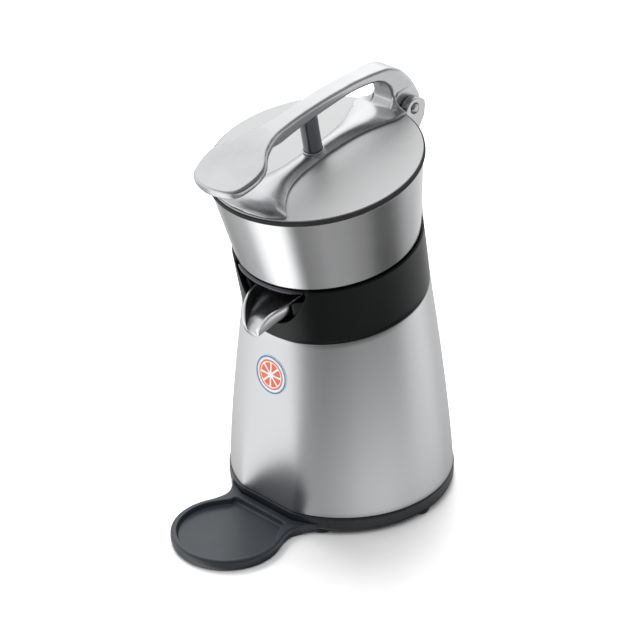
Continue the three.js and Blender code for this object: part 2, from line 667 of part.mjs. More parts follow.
function leverBlank() {
  const bridge = loft([
    [-88.5, 11, 1.2, 0.6], [-84, 29, 2.2, 0.9], [-75, 40, 3, 1], [-66, 30, 3.6, 1.3], [-57, 22.8, 4.1, 1.7],
    [-45, 15.6, 4.8, 2.2], [-27, 10.6, 5.4, 2.6], [-7.5, 9.4, 5.8, 3], [12, 9, 5.9, 3.1],
    [30, 10.1, 5.4, 3.1], [47, 13.2, 4.2, 3], [61, 18.2, 3.4, 2.9], [74, 23, 3.2, 3], [82, 25, 4.2, 3.2],
    [87, 25, 7, 3.2],
  ].map(bridgeSection));
  const hump = slab(HUMP_OUTLINE, -HUMP_HALF_WIDTH, HUMP_HALF_WIDTH);
  const postBoss = cylinder(POST_RING.outer, LEVER_BOTTOM, POST_BOTTOM - GAP, 24);
  const arm = loft([
    [-50, 226, -51.5, 215.5, 12.5], [-39.1, 225.6, -41.2, 214.2, 10.4], [-19.3, 226, -21.6, 214.6, 9.4],
    [0.3, 226.2, -2.3, 214.6, 9.2], [20.3, 225, 18.1, 214.5, 9.2], [39.3, 223, 37.5, 214.2, 8.8],
    [59.3, 220.7, 53.4, 212.2, 9], [78.8, 217, 70, 208.2, 10.5], [91.2, 212.5, 79, 204, HUMP_HALF_WIDTH],
    [101, 206.9, 86, 196, HUMP_HALF_WIDTH],
  ].map(armSection));
  const paddle = loft([
    [-38, 9.6, 225.2], [-46, 11.7, 225.8], [-52, 13.6, 226], [-58, 16, 225.8], [-63, 18.2, 225],
    [-67, 20.8, 224], [-71, 24.3, 222.6], [-75, 27.3, 220.9], [-80, 29.6, 218.9], [-87, 30.4, 216.9],
    [-94, 29.7, 215.6], [-101, 27.8, 214.5], [-106.5, 25.5, 213.7], [-110.5, 21, 213.2],
    [-113.5, 13, 212.8], [-115.2, 4, 212.6],
  ].map(paddleSection));
  return join(bridge, postBoss, hump, arm, paddle);
}

function addLever() {
  const pinHole = crossPin(PIN_RADIUS + GAP, -40, 40, PIN_Y, PIN_HEIGHT);
  const rodHole = cylinder(ROD_RADIUS + GAP, LID_TOP - 2, 200, 20);
  const screwHoles = LID_SCREWS.map(([x, y]) => (
    cylinder(LID_SCREW_RADIUS + GAP, LID_TOP - 1, LID_TOP + LID_SCREW_REACH + GAP, 12).translate(x, y, 0)
  ));
  const postSeat = cylinder(POST_RING.outer + GAP, POST_BOTTOM - GAP, POST_TOP + GAP, 24);
  piece('lever', cut(leverBlank(), pinHole, rodHole, postSeat, ...screwHoles), castAluminium, head);

  const plateRadius = LID_RADIUS - LID_EDGE;
  const plateRing = turned([
    [0, LID_BOTTOM], [plateRadius, LID_BOTTOM], [plateRadius, LID_TOP - 0.3], [plateRadius - 0.3, LID_TOP],
    [0, LID_TOP],
  ], SHELL_SEGMENTS);
  const lidHoles = LID_SCREWS.map(([x, y]) => (
    cylinder(LID_SCREW_RADIUS + GAP, LID_BOTTOM - 1, LID_TOP + 1, 12).translate(x, y, 0)
  ));
  const lidRodHole = cylinder(ROD_RADIUS + GAP, LID_BOTTOM - 1, LID_TOP + 1, 20);
  piece('lid', cut(plateRing, lidRodHole, ...lidHoles), lidSteel, head);

  // The gasket lies on the bowl's rim and wraps round the lid's edge.
  piece('lid_gasket', turned([
    [BOWL_RIM_RADIUS - 2.6, BOWL_RIM + 0.5], [LID_RADIUS - 0.4, BOWL_RIM + 0.5], [LID_RADIUS, BOWL_RIM + 1],
    [LID_RADIUS, LID_TOP - 0.6], [LID_RADIUS - 0.4, LID_TOP - 0.2], [plateRadius + GAP, LID_TOP - 0.2],
    [plateRadius + GAP, LID_BOTTOM - GAP], [BOWL_RIM_RADIUS - 2.6, LID_BOTTOM - GAP],
  ], SHELL_SEGMENTS), rubber, head);

  piece('guide_post', tube(ROD_RADIUS + GAP, POST_RADIUS, POST_BOTTOM, POST_TOP, 24), darkSteel, head);
  const ringTop = POST_BOTTOM + POST_RING.height;
  piece('post_ring', tube(POST_RING.inner, POST_RING.outer, POST_BOTTOM, ringTop, 24), polishedSteel, head);

  LID_SCREWS.forEach(([x, y], i) => {
    const screw = turned([
      [0, LID_BOTTOM - 2.6], [3.8, LID_BOTTOM - 2.6], [3.8, LID_BOTTOM - GAP],
      [LID_SCREW_RADIUS, LID_BOTTOM - GAP],
      [LID_SCREW_RADIUS, LID_TOP + LID_SCREW_REACH], [0, LID_TOP + LID_SCREW_REACH],
    ], 12);
    piece(`lid_screw_${i + 1}`, screw.translate(x, y, 0), zincScrew, head);
  });
}

// ---------------------------------------------------------------- pressing cup

const CUP_TOP = 155;
const CUP_RIM = 118;
const CUP_RADIUS = 43;
const CUP_WALL = 2;

/** A dome profile from the rim to the axis, as [radius, height] points. */
function domeArc(radius, top, steps) {
  const points = [];
  for (let i = 0; i <= steps; i++) {
    const angle = (i / steps) * (Math.PI / 2);
    const reach = i === steps ? 0 : radius * Math.cos(angle) ** 0.55;
    points.push([reach, mix(CUP_RIM, top, Math.sin(angle) ** 1.1)]);
  }
  return points;
}

function addPressingCup() {
  const steps = 6;
  const outer = domeArc(CUP_RADIUS, CUP_TOP, steps);
  const inner = domeArc(CUP_RADIUS - CUP_WALL, CUP_TOP - CUP_WALL, steps).reverse();
  piece('pressing_cup', turned([...inner, ...outer], 32), castAluminium, head);

  const rodTop = 200;
  const rod = turned([
    [0, CUP_TOP + GAP], [6.4, CUP_TOP + GAP], [6.4, CUP_TOP + 2], [ROD_RADIUS, CUP_TOP + 2],
    [ROD_RADIUS, rodTop],
    [0, rodTop],
  ], 20);
  piece('cup_rod', rod, darkSteel, head);

  const [springBottom, springTop] = [CUP_TOP + 3.4, LID_BOTTOM - 1.8];
  const turns = 3.5;
  const stepsPerTurn = 10;
  const path = [];
  for (let i = 0; i <= turns * stepsPerTurn; i++) {
    const angle = (i / stepsPerTurn) * 2 * Math.PI;
    const height = mix(springBottom, springTop, i / (turns * stepsPerTurn));
    path.push(new THREE.Vector3(8.5 * Math.cos(angle), 8.5 * Math.sin(angle), height));
  }
  const wire = new THREE.Shape();
  wire.absarc(0, 0, 0.9, 0, 2 * Math.PI);
  piece('cup_spring', new THREE.ExtrudeGeometry(wire, {
    extrudePath: new THREE.CatmullRomCurve3(path), steps: turns * stepsPerTurn, curveSegments: 3,
  }), zincScrew, head);
}

// ---------------------------------------------------------------- drip tray

const TRAY_JOIN_ANGLE = THREE.MathUtils.degToRad(25);
const NECK = { waistX: 40.3, waistY: -107.5, flareX: 52.2, flareY: -86 };
const DISH_LEAVE_ANGLE = THREE.MathUtils.degToRad(34);
const DISH = { radius: 44, floor: 5.5, cornerX: 26.5, rearY: -102.5, leaveAngle: DISH_LEAVE_ANGLE };

/** The tray's outline: a round dish whose neck flares out to meet the base. */
function trayOutline() {
  const joinX = TRAY_RADIUS * Math.cos(TRAY_JOIN_ANGLE);
  const joinY = TRAY_Y + TRAY_RADIUS * Math.sin(TRAY_JOIN_ANGLE);
  const { waistX, waistY, flareX, flareY } = NECK;
  const shape = new THREE.Shape();
  shape.moveTo(flareX, flareY);
  shape.quadraticCurveTo(waistX - 0.5, flareY - 9, waistX, waistY);
  shape.quadraticCurveTo(waistX + 1, waistY - 8, joinX, joinY);
  shape.absarc(0, TRAY_Y, TRAY_RADIUS, TRAY_JOIN_ANGLE, -Math.PI - TRAY_JOIN_ANGLE, true);
  shape.quadraticCurveTo(-waistX - 1, waistY - 8, -waistX, waistY);
  shape.quadraticCurveTo(-waistX + 0.5, flareY - 9, -flareX, flareY);
  return shape;
}

/** The dish inside the rim: round in front, with two corners towards the base. */
function dishOutline() {
  const { radius, cornerX, rearY, leaveAngle } = DISH;
  const shape = new THREE.Shape();
  shape.moveTo(cornerX, rearY);
  shape.absarc(0, TRAY_Y, radius, leaveAngle, -Math.PI - leaveAngle, true);
  shape.lineTo(-cornerX, rearY);
  return shape;
}

function addTray() {
  const curveSegments = 18;
  const extruded = (outline, depth) => (
    new THREE.ExtrudeGeometry(outline, { depth, bevelEnabled: false, curveSegments })
  );
  const body = extruded(trayOutline(), TRAY_RIM);
  const baseRoom = overlap(cylinder(BASE_RADIUS + 0.4, -5, 40, SHELL_SEGMENTS), behindFacet(-1.4));
  const dish = extruded(dishOutline(), 30);
  piece('drip_tray', cut(body, baseRoom, dish.translate(0, 0, DISH.floor)), trayPlastic);
}

addShell();
addBase();
addRearPanel();
addMotor();
addCollar();
addBowl();
addSpout();
addReamer();
addColumn();
addLever();
addPressingCup();
addTray();

export default machine;
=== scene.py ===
"""Looks of the lever-operated citrus press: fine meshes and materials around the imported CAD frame."""

import json
import math

import bmesh
import bpy
from mathutils import Matrix, Vector
from mathutils.bvhtree import BVHTree


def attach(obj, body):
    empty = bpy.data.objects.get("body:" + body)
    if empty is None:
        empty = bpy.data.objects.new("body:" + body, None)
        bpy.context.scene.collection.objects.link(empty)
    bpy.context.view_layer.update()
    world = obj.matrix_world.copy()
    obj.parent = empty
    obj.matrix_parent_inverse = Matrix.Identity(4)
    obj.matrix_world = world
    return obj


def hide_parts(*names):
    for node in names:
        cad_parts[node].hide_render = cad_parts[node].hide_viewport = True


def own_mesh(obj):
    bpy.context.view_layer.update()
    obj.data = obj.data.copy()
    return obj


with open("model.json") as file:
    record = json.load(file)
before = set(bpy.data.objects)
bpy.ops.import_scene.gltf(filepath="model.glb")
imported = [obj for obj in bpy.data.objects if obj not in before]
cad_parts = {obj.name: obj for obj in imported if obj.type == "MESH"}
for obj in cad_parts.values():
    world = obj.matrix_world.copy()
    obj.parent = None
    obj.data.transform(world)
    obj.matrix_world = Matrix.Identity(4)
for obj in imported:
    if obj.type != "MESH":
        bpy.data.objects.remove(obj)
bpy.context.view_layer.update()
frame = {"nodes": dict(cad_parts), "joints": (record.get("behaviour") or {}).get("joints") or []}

# -------------------- frames and sizes

MM = 0.001
JOINTS = {joint["name"]: joint for joint in frame["joints"]}
HEAD_ORIGIN = Vector(JOINTS["drive_spin"]["pos_m"])
HEAD_TILT = math.asin(-JOINTS["drive_spin"]["axis"][1])

# Shapes are written in millimetres, in one of two local frames: BODY stands on the worktop
# with its axis up the body, and HEAD has its axis up the leaning head.
BODY = Matrix.Translation((0, HEAD_ORIGIN.y, 0)) @ Matrix.Scale(MM, 4)
HEAD = Matrix.Translation(HEAD_ORIGIN) @ Matrix.Rotation(HEAD_TILT, 4, "X") @ Matrix.Scale(MM, 4)


class Span:
    """Where a CAD node lies in a local frame, in millimetres."""

    def __init__(self, node, place):
        back = place.inverted()
        points = [back @ vertex.co for vertex in frame["nodes"][node].data.vertices]
        self.low = Vector([min(point[axis] for point in points) for axis in range(3)])
        self.high = Vector([max(point[axis] for point in points) for axis in range(3)])
        self.reach = max(math.hypot(point.x, point.y) for point in points)
        self.middle = (self.low + self.high) / 2
        self.half_width = (self.high.x - self.low.x) / 2


def mix(low, high, part):
    return low + (high - low) * part


def spread(low, high, steps):
    """Evenly spaced values from low to high, both included."""
    return [mix(low, high, k / steps) for k in range(steps + 1)]


def smoothstep(part):
    part = min(1.0, max(0.0, part))
    return part * part * (3 - 2 * part)


def planed(y, front, softness):
    """A Y value kept behind a flat front, with a soft crease between the two."""
    gap = y - front
    if gap >= 30 * softness:
        return y
    return front + softness * math.log1p(math.exp(gap / softness))


def polar(radius, angle):
    return radius * math.cos(angle), radius * math.sin(angle)


def from_front(radius, angle, height):
    """A place about the head's axis, its angle measured from the front."""
    return radius * math.sin(angle), -radius * math.cos(angle), height


def circle(radius, count, centre=(0, 0)):
    points = []
    for k in range(count):
        x, y = polar(radius, 2 * math.pi * k / count)
        points.append((centre[0] + x, centre[1] + y))
    return points


def stations(keys, count):
    """Smooth rows between key rows of numbers, with the key rows evenly spread."""
    rows = []
    last = len(keys) - 1
    for i in range(count + 1):
        at = i / count * last
        k = min(int(at), last - 1)
        t = at - k
        before, start = keys[max(k - 1, 0)], keys[k]
        end, after = keys[k + 1], keys[min(k + 2, last)]
        row = []
        for p0, p1, p2, p3 in zip(before, start, end, after):
            row.append(0.5 * (2 * p1 + (p2 - p0) * t + (2 * p0 - 5 * p1 + 4 * p2 - p3) * t * t
                              + (3 * p1 - p0 - 3 * p2 + p3) * t ** 3))
        rows.append(row)
    return rows


def rounded(points, radii, steps=5):
    """A closed 2-D outline with each corner replaced by an arc of its radius."""
    count = len(points)
    if not isinstance(radii, (list, tuple)):
        radii = [radii] * count
    outline = []
    for i, (point, radius) in enumerate(zip(points, radii)):
        corner = Vector(point)
        if radius <= 0:
            outline.append(tuple(corner))
            continue
        to_before = Vector(points[i - 1]) - corner
        to_after = Vector(points[(i + 1) % count]) - corner
        reach_limit = min(to_before.length, to_after.length) * 0.49
        to_before.normalize()
        to_after.normalize()
        half = to_before.angle(to_after) / 2
        if half > math.pi / 2 - 0.01:
            outline.append(tuple(corner))
            continue
        reach = min(radius / math.tan(half), reach_limit)
        arc = reach * math.tan(half)
        centre = corner + (to_before + to_after).normalized() * (arc / math.sin(half))
        start = corner + to_before * reach - centre
        end = corner + to_after * reach - centre
        turn = start.angle_signed(end)
        for step in range(steps + 1):
            spin = Matrix.Rotation(-turn * step / steps, 2)
            outline.append(tuple(centre + spin @ start))
    return outline


def rectangle(low_x, low_y, high_x, high_y, radii, steps=5):
    return rounded([(low_x, low_y), (high_x, low_y), (high_x, high_y), (low_x, high_y)], radii, steps)


# -------------------- mesh makers

def new_object(name, vertices, faces, place):
    mesh = bpy.data.meshes.new(name)
    mesh.from_pydata([place @ Vector(vertex) for vertex in vertices], [], faces)
    body = bmesh.new()
    body.from_mesh(mesh)
    bmesh.ops.remove_doubles(body, verts=body.verts, dist=1e-6)
    bmesh.ops.recalc_face_normals(body, faces=body.faces)
    body.to_mesh(mesh)
    body.free()
    mesh.shade_smooth()
    obj = bpy.data.objects.new(name, mesh)
    bpy.context.scene.collection.objects.link(obj)
    return obj


def even_normals(obj):
    """Keeps flat faces flat-looking beside their rounded edges."""
    obj.modifiers.new("even_normals", "WEIGHTED_NORMAL").weight = 80
    return obj


def lathe(name, profile, place=HEAD, segments=192):
    """A solid turned about the local Z axis from (radius, height) points."""
    vertices, faces = [], []
    count = len(profile)
    for i in range(segments):
        angle = 2 * math.pi * i / segments
        for radius, height in profile:
            vertices.append((*polar(radius, angle), height))
    for i in range(segments):
        here, there = i * count, (i + 1) % segments * count
        for k in range(count):
            after = (k + 1) % count
            if profile[k][0] == 0 and profile[after][0] == 0:
                continue
            if profile[k][0] == 0:
                faces.append((here + k, there + after, here + after))
            elif profile[after][0] == 0:
                faces.append((here + k, there + k, here + after))
            else:
                faces.append((here + k, there + k, there + after, here + after))
    return even_normals(new_object(name, vertices, faces, place))


def turned(name, points, radii, place=HEAD, steps=5, segments=160):
    """A lathed solid whose profile's corners are rounded."""
    return lathe(name, rounded(points, radii, steps), place, segments)


def skin(name, rings, place, loop=False):
    """A skin over rings of points; the ends are closed by flat faces, or joined in a loop."""
    count = len(rings[0])
    vertices = [point for ring in rings for point in ring]
    faces = []
    spans = len(rings) if loop else len(rings) - 1
    for ring in range(spans):
        here, there = ring * count, (ring + 1) % len(rings) * count
        for k in range(count):
            after = (k + 1) % count
            faces.append((here + k, here + after, there + after, there + k))
    if not loop:
        faces.append(tuple(reversed(range(count))))
        faces.append(tuple(range((len(rings) - 1) * count, len(rings) * count)))
    return new_object(name, vertices, faces, place)


def block(name, outline, low, high, place, edge=0.6, axis="Z", steps=3):
    """An outline pushed from low to high along an axis, with rounded edges."""
    count = len(outline)
    area = sum(outline[i - 1][0] * outline[i][1] - outline[i][0] * outline[i - 1][1] for i in range(count))
    turn = 1 if area > 0 else -1
    angles = spread(0, math.pi / 2, steps)
    levels = [(low + edge * (1 - math.cos(a)), edge * (1 - math.sin(a))) for a in angles]
    levels += [(high - edge * (1 - math.cos(a)), edge * (1 - math.sin(a))) for a in reversed(angles)]
    rings = []
    for level, inset in levels:
        ring = []
        for i in range(count):
            side = Vector(outline[(i + 1) % count]) - Vector(outline[i - 1])
            inward = Vector((-side.y, side.x)).normalized() * turn
            point = list(Vector(outline[i]) + inward * inset)
            point.insert("XYZ".index(axis), level)
            ring.append(point)
        rings.append(ring)
    return even_normals(skin(name, rings, place))


def apply_modifiers(obj):
    """Bakes the modifiers into the mesh."""
    depsgraph = bpy.context.evaluated_depsgraph_get()
    mesh = bpy.data.meshes.new_from_object(obj.evaluated_get(depsgraph))
    old = obj.data
    obj.modifiers.clear()
    obj.data = mesh
    bpy.data.meshes.remove(old)


def fused(name, parts, voxel, smoothing):
    """One casting out of overlapping parts, with its edges and joins softened."""
    body = bmesh.new()
    for part in parts:
        apply_modifiers(part)
        body.from_mesh(part.data)
        bpy.data.objects.remove(part)
    mesh = bpy.data.meshes.new(name)
    body.to_mesh(mesh)
    body.free()
    obj = bpy.data.objects.new(name, mesh)
    bpy.context.scene.collection.objects.link(obj)
    remesh = obj.modifiers.new("remesh", "REMESH")
    remesh.mode = "VOXEL"
    remesh.voxel_size = voxel * MM
    relax = obj.modifiers.new("relax", "SMOOTH")
    relax.factor = 0.5
    relax.iterations = smoothing
    apply_modifiers(obj)
    obj.data.shade_smooth()
    return obj


def subtract(obj, *tools):
    """Cuts tools out of a mesh with exact booleans."""
    for tool in tools:
        cut = obj.modifiers.new("cut", "BOOLEAN")
        cut.operation = "DIFFERENCE"
        cut.solver = "EXACT"
        cut.object = tool
        bpy.context.view_layer.update()
        apply_modifiers(obj)
        bpy.data.objects.remove(tool)


def place_piece(obj, body, slot, material, *nodes):
    """Dresses a finished piece and ties it to its CAD body and nodes."""
    obj.data.materials.clear()
    obj.data.materials.append(material)
    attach(obj, body)
    if nodes:
        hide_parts(*nodes)


# -------------------- materials

class Nodes:
    """A small helper to build the node tree of a material or a world."""

    def __init__(self, owner):
        owner.use_nodes = True
        self.owner = owner
        self.tree = owner.node_tree
        self.shader = self.tree.nodes.get("Principled BSDF")

    def add(self, kind, **values):
        """A new node; a value named like an input, with its spaces as underscores, goes there."""
        node = self.tree.nodes.new(kind)
        for name, value in values.items():
            label = name.replace("_", " ")
            if label in node.inputs:
                node.inputs[label].default_value = value
            else:
                setattr(node, name, value)
        return node

    def link(self, start, end):
        self.tree.links.new(start, end)

    def set(self, **values):
        for name, value in values.items():
            self.shader.inputs[name.replace("_", " ")].default_value = value

    def compute(self, operation, *values):
        """A math node's result; each value is a number or another node's output."""
        node = self.add("ShaderNodeMath", operation=operation)
        for socket, value in zip(node.inputs, values):
            if isinstance(value, (int, float)):
                socket.default_value = value
            else:
                self.link(value, socket)
        return node.outputs[0]

    def place(self, stretch=(1, 1, 1)):
        """Object coordinates, stretched if need be."""
        coordinates = self.add("ShaderNodeTexCoord")
        mapping = self.add("ShaderNodeMapping", Scale=stretch)
        self.link(coordinates.outputs["Object"], mapping.inputs["Vector"])
        return mapping.outputs["Vector"]

    def around(self, origin, turns, rise):
        """Cylindrical coordinates about a vertical axis: angle times turns, height times rise."""
        coordinates = self.add("ShaderNodeTexCoord")
        shift = self.add("ShaderNodeVectorMath", operation="SUBTRACT")
        shift.inputs[1].default_value = origin
        split = self.add("ShaderNodeSeparateXYZ")
        merge = self.add("ShaderNodeCombineXYZ")
        self.link(coordinates.outputs["Object"], shift.inputs[0])
        self.link(shift.outputs[0], split.inputs[0])
        angle = self.compute("ARCTAN2", split.outputs["Y"], split.outputs["X"])
        self.link(self.compute("MULTIPLY", angle, turns), merge.inputs["X"])
        self.link(self.compute("MULTIPLY", split.outputs["Z"], rise), merge.inputs["Z"])
        return merge.outputs[0]

    def noise(self, scale, detail=4.0, roughness=0.55, vector=None):
        node = self.add("ShaderNodeTexNoise", Scale=scale, Detail=detail, Roughness=roughness)
        self.link(vector or self.place(), node.inputs["Vector"])
        return node.outputs["Fac"]

    def ranged(self, value, low, high):
        node = self.add("ShaderNodeMapRange", To_Min=low, To_Max=high)
        self.link(value, node.inputs["Value"])
        return node.outputs["Result"]

    def ramp(self, value, *stops, interpolation="LINEAR"):
        node = self.add("ShaderNodeValToRGB")
        node.color_ramp.interpolation = interpolation
        elements = node.color_ramp.elements
        while len(elements) < len(stops):
            elements.new(0.5)
        for element, (position, colour) in zip(elements, stops):
            element.position = position
            element.color = (*colour, 1)
        self.link(value, node.inputs["Fac"])
        return node.outputs["Color"]

    def colour(self, value, *stops):
        self.link(self.ramp(value, *stops), self.shader.inputs["Base Color"])

    def roughness(self, value, low, high):
        self.link(self.ranged(value, low, high), self.shader.inputs["Roughness"])

    def bump(self, *layers):
        """Chains (height, distance in metres, strength) layers into the shader's normal."""
        normal = None
        for height, distance, strength in layers:
            node = self.add("ShaderNodeBump", Strength=strength, Distance=distance)
            self.link(height, node.inputs["Height"])
            if normal is not None:
                self.link(normal, node.inputs["Normal"])
            normal = node.outputs["Normal"]
        self.link(normal, self.shader.inputs["Normal"])


def new_material(name):
    return Nodes(bpy.data.materials.new(name))


def tint(colour, factor):
    return tuple(min(1.0, channel * factor) for channel in colour)


def brushed(name, colour, roughness, origin):
    """Steel brushed around its axis: fine level lines, with soft uneven patches."""
    nodes = new_material(name)
    lines = nodes.noise(3.0, 3.0, 0.7, nodes.around(origin, 0.6, 900.0))
    patches = nodes.noise(9.0, 2.0)
    nodes.colour(lines, (0.3, tint(colour, 0.975)), (0.7, tint(colour, 1.02)))
    fine = nodes.ranged(lines, roughness - 0.02, roughness + 0.025)
    rough = nodes.compute("ADD", fine, nodes.ranged(patches, -0.02, 0.02))
    nodes.link(rough, nodes.shader.inputs["Roughness"])
    nodes.set(Metallic=1.0)
    nodes.bump((lines, 0.00004, 0.06))
    return nodes.owner


def polished(name, colour, roughness, smears=0.04):
    """Mirror-polished steel with faint wiping marks."""
    nodes = new_material(name)
    wipes = nodes.noise(22.0, 5.0, 0.6, nodes.place((1, 1, 3)))
    specks = nodes.noise(700.0, 2.0)
    nodes.colour(wipes, (0.3, tint(colour, 0.96)), (0.75, colour))
    nodes.roughness(wipes, roughness, roughness + smears)
    nodes.set(Metallic=1.0)
    nodes.bump((specks, 0.00001, 0.15))
    return nodes.owner


def cast(name, colour, roughness, grain=0.25):
    """Fine-blasted cast aluminium: an even matte sparkle over slow unevenness."""
    nodes = new_material(name)
    sparkle = nodes.noise(2600.0, 3.0, 0.6)
    slow = nodes.noise(38.0, 3.0)
    nodes.colour(slow, (0.3, tint(colour, 0.95)), (0.7, tint(colour, 1.03)))
    nodes.roughness(sparkle, roughness - 0.06, roughness + 0.08)
    nodes.set(Metallic=1.0)
    nodes.bump((slow, 0.0002, 0.08), (sparkle, 0.00003, grain))
    return nodes.owner


def plastic(name, colour, roughness, texture=1400.0, depth=0.2, coat=0.0, shine=0.5):
    """Moulded plastic or enamel with a fine surface texture."""
    nodes = new_material(name)
    fine = nodes.noise(texture, 4.0, 0.6)
    slow = nodes.noise(30.0, 3.0)
    nodes.colour(slow, (0.3, tint(colour, 0.85)), (0.7, tint(colour, 1.15)))
    nodes.roughness(fine, roughness - 0.05, roughness + 0.07)
    nodes.set(Metallic=0.0, Coat_Weight=coat, Coat_Roughness=0.08, Specular_IOR_Level=shine)
    nodes.bump((slow, 0.0004, 0.03), (fine, 0.00004, depth))
    return nodes.owner


def rubber(name, colour):
    """Dull moulded rubber with dusty variation."""
    nodes = new_material(name)
    dust = nodes.noise(90.0, 5.0, 0.65)
    fine = nodes.noise(1200.0, 3.0)
    nodes.colour(dust, (0.35, colour), (0.8, tint(colour, 1.8)))
    nodes.roughness(dust, 0.62, 0.85)
    nodes.bump((fine, 0.00006, 0.4))
    return nodes.owner


def laminated(name, colour):
    """Stacked motor sheet: fine dark lines square to the head axis."""
    nodes = new_material(name)
    coordinates = nodes.add("ShaderNodeTexCoord")
    turn = nodes.add("ShaderNodeVectorRotate", rotation_type="X_AXIS", Angle=-HEAD_TILT)
    nodes.link(coordinates.outputs["Object"], turn.inputs["Vector"])
    wave = nodes.add("ShaderNodeTexWave", bands_direction="Z", Scale=320.0, Distortion=0.3)
    nodes.link(turn.outputs[0], wave.inputs["Vector"])
    sheets = wave.outputs["Fac"]
    nodes.colour(sheets, (0.1, tint(colour, 0.4)), (0.5, colour))
    nodes.roughness(sheets, 0.6, 0.42)
    nodes.set(Metallic=0.9)
    nodes.bump((sheets, 0.0001, 0.5))
    return nodes.owner


BODY_AXIS = (0, HEAD_ORIGIN.y, 0)
STEEL_SHELL = brushed("shell_brushed_steel", (0.60, 0.605, 0.615), 0.30, BODY_AXIS)
STEEL_LID = polished("lid_satin_steel", (0.86, 0.865, 0.87), 0.58, 0.05)
STEEL_BOWL = polished("bowl_polished_steel", (0.74, 0.745, 0.755), 0.17)
STEEL_SPOUT = polished("spout_polished_steel", (0.78, 0.785, 0.80), 0.27)
ALUMINIUM = cast("lever_cast_aluminium", (0.57, 0.575, 0.585), 0.25)
ALUMINIUM_DARK = cast("motor_cast_aluminium", (0.5, 0.505, 0.51), 0.5, 0.4)
BLACK_GLOSS = plastic("collar_gloss_black", (0.0022, 0.0042, 0.0038), 0.28, 2500.0, 0.02, 0.03, 0.2)
BLACK_PLASTIC = plastic("base_black_plastic", (0.014, 0.016, 0.02), 0.36)
TRAY_PLASTIC = plastic("tray_dark_plastic", (0.022, 0.026, 0.032), 0.33, 900.0, 0.3)
RUBBER = rubber("black_rubber", (0.012, 0.012, 0.013))
# Polished steel with its colour darkened: painted shade and dark reflections on the guide post, also given to
# the motor shaft and coupling.
STEEL_DARKENED_AS_SHADE = polished("dark_steel", (0.27, 0.275, 0.295), 0.13, 0.08)
# Polished steel painted near-black: painted shade and dark reflections for the drip lip under the bowl.
LIP_STEEL_PAINTED_SHADE = polished("lip_steel_painted_shade", (0.10, 0.10, 0.115), 0.12, 0.08)
SCREW_STEEL = polished("zinc_plated_steel", (0.58, 0.585, 0.59), 0.28, 0.1)
LAMINATION = laminated("motor_laminations", (0.34, 0.35, 0.36))
WHITE_NYLON = plastic("white_nylon", (0.72, 0.72, 0.68), 0.38, 800.0, 0.15, 0.1)
BRASS = polished("bright_brass", (0.72, 0.55, 0.27), 0.22, 0.08)
ENAMEL_WHITE = plastic("badge_white_enamel", (0.83, 0.835, 0.83), 0.16, 300.0, 0.04, 0.5)
ENAMEL_BLUE = plastic("badge_blue_enamel", (0.05, 0.2, 0.42), 0.18, 300.0, 0.04, 0.5)
ENAMEL_RED = plastic("badge_red_enamel", (0.75, 0.11, 0.04), 0.18, 300.0, 0.04, 0.5)

# -------------------- body shell and badge

SHELL = Span("body_shell", BODY)
COLLAR = Span("collar", HEAD)
BASE = Span("base_plate", BODY)
PANEL = Span("rear_panel", BODY)
GAP = 0.3
ROUND_STEPS = 360
SHELL_RADIUS = BASE.reach - 1.0
SHELL_WALL = 1.5
SHELL_SWELL = 1.3
FACET_BOTTOM_Y = BASE.low.y + 1.0
FACET_TOP_Y = -87.2
FACET_TOP_Z = 178.0
COLLAR_RADIUS = COLLAR.reach - 0.6


def facet_y(height, inset=0.0):
    return mix(FACET_BOTTOM_Y, FACET_TOP_Y, (height - BASE.high.z) / (FACET_TOP_Z - BASE.high.z)) + inset


def head_in_body(point):
    return BODY.inverted() @ (HEAD @ Vector(point))


def shell_ring(rise, extra):
    """One ring of the shell's skin: round, leaning with height, with its front planed flat."""
    top_centre = head_in_body((0, 0, COLLAR.low.z - GAP))
    centre = Vector((0, 0, SHELL.low.z)).lerp(top_centre, rise)
    radius = mix(SHELL_RADIUS, COLLAR_RADIUS, rise ** SHELL_SWELL) + extra
    softness = mix(0.35, 2.2, smoothstep(rise * 1.15))
    ring = []
    for x, y in circle(1, ROUND_STEPS):
        leaning = head_in_body((x, y, COLLAR.low.z - GAP)) - top_centre
        point = centre + Vector((x, y, 0)).lerp(leaning, rise) * radius
        point.y = planed(point.y, facet_y(point.z, -extra), softness)
        ring.append(point)
    return ring


def make_shell():
    levels = 40
    edge, edge_inset = 0.004, 0.3
    rises = [0.0, edge] + [mix(edge, 1 - edge, i / levels) for i in range(1, levels)] + [1 - edge, 1.0]
    outer = [shell_ring(rise, -edge_inset if rise in (0.0, 1.0) else 0.0) for rise in rises]
    inner = [shell_ring(rise, -SHELL_WALL) for rise in reversed(rises)]
    shell = skin("shell_skin", outer + inner, BODY, loop=True)
    subtract(shell, rear_room("panel_opening", PANEL, GAP, GAP, 2.0))
    shell.data.shade_smooth()
    place_piece(even_normals(shell), "base", "shell_steel", STEEL_SHELL, "body_shell")


def badge_place():
    """A frame on the facet: X across, Y up the facet, Z out of it."""
    badge = Span("badge", BODY)
    slope = math.atan2(FACET_TOP_Y - FACET_BOTTOM_Y, FACET_TOP_Z - BASE.high.z)
    height = badge.middle.z
    place = Matrix.Translation((0, facet_y(height), height)) @ Matrix.Rotation(math.pi / 2 - slope, 4, "X")
    return BODY @ place, badge.half_width


def hug_shell(obj):
    """Bends a badge piece, made flat, on to the shell's skin."""
    shell = bpy.data.objects["shell_skin"].data
    skin_tree = BVHTree.FromPolygons([v.co for v in shell.vertices], [p.vertices for p in shell.polygons])
    for vertex in obj.data.vertices:
        start = Vector((vertex.co.x, -1.0, vertex.co.z))
        hit = skin_tree.ray_cast(start, Vector((0, 1, 0)))[0]
        plane = HEAD_ORIGIN.y + facet_y(vertex.co.z / MM) * MM
        vertex.co.y += hit.y - plane
    return even_normals(obj)


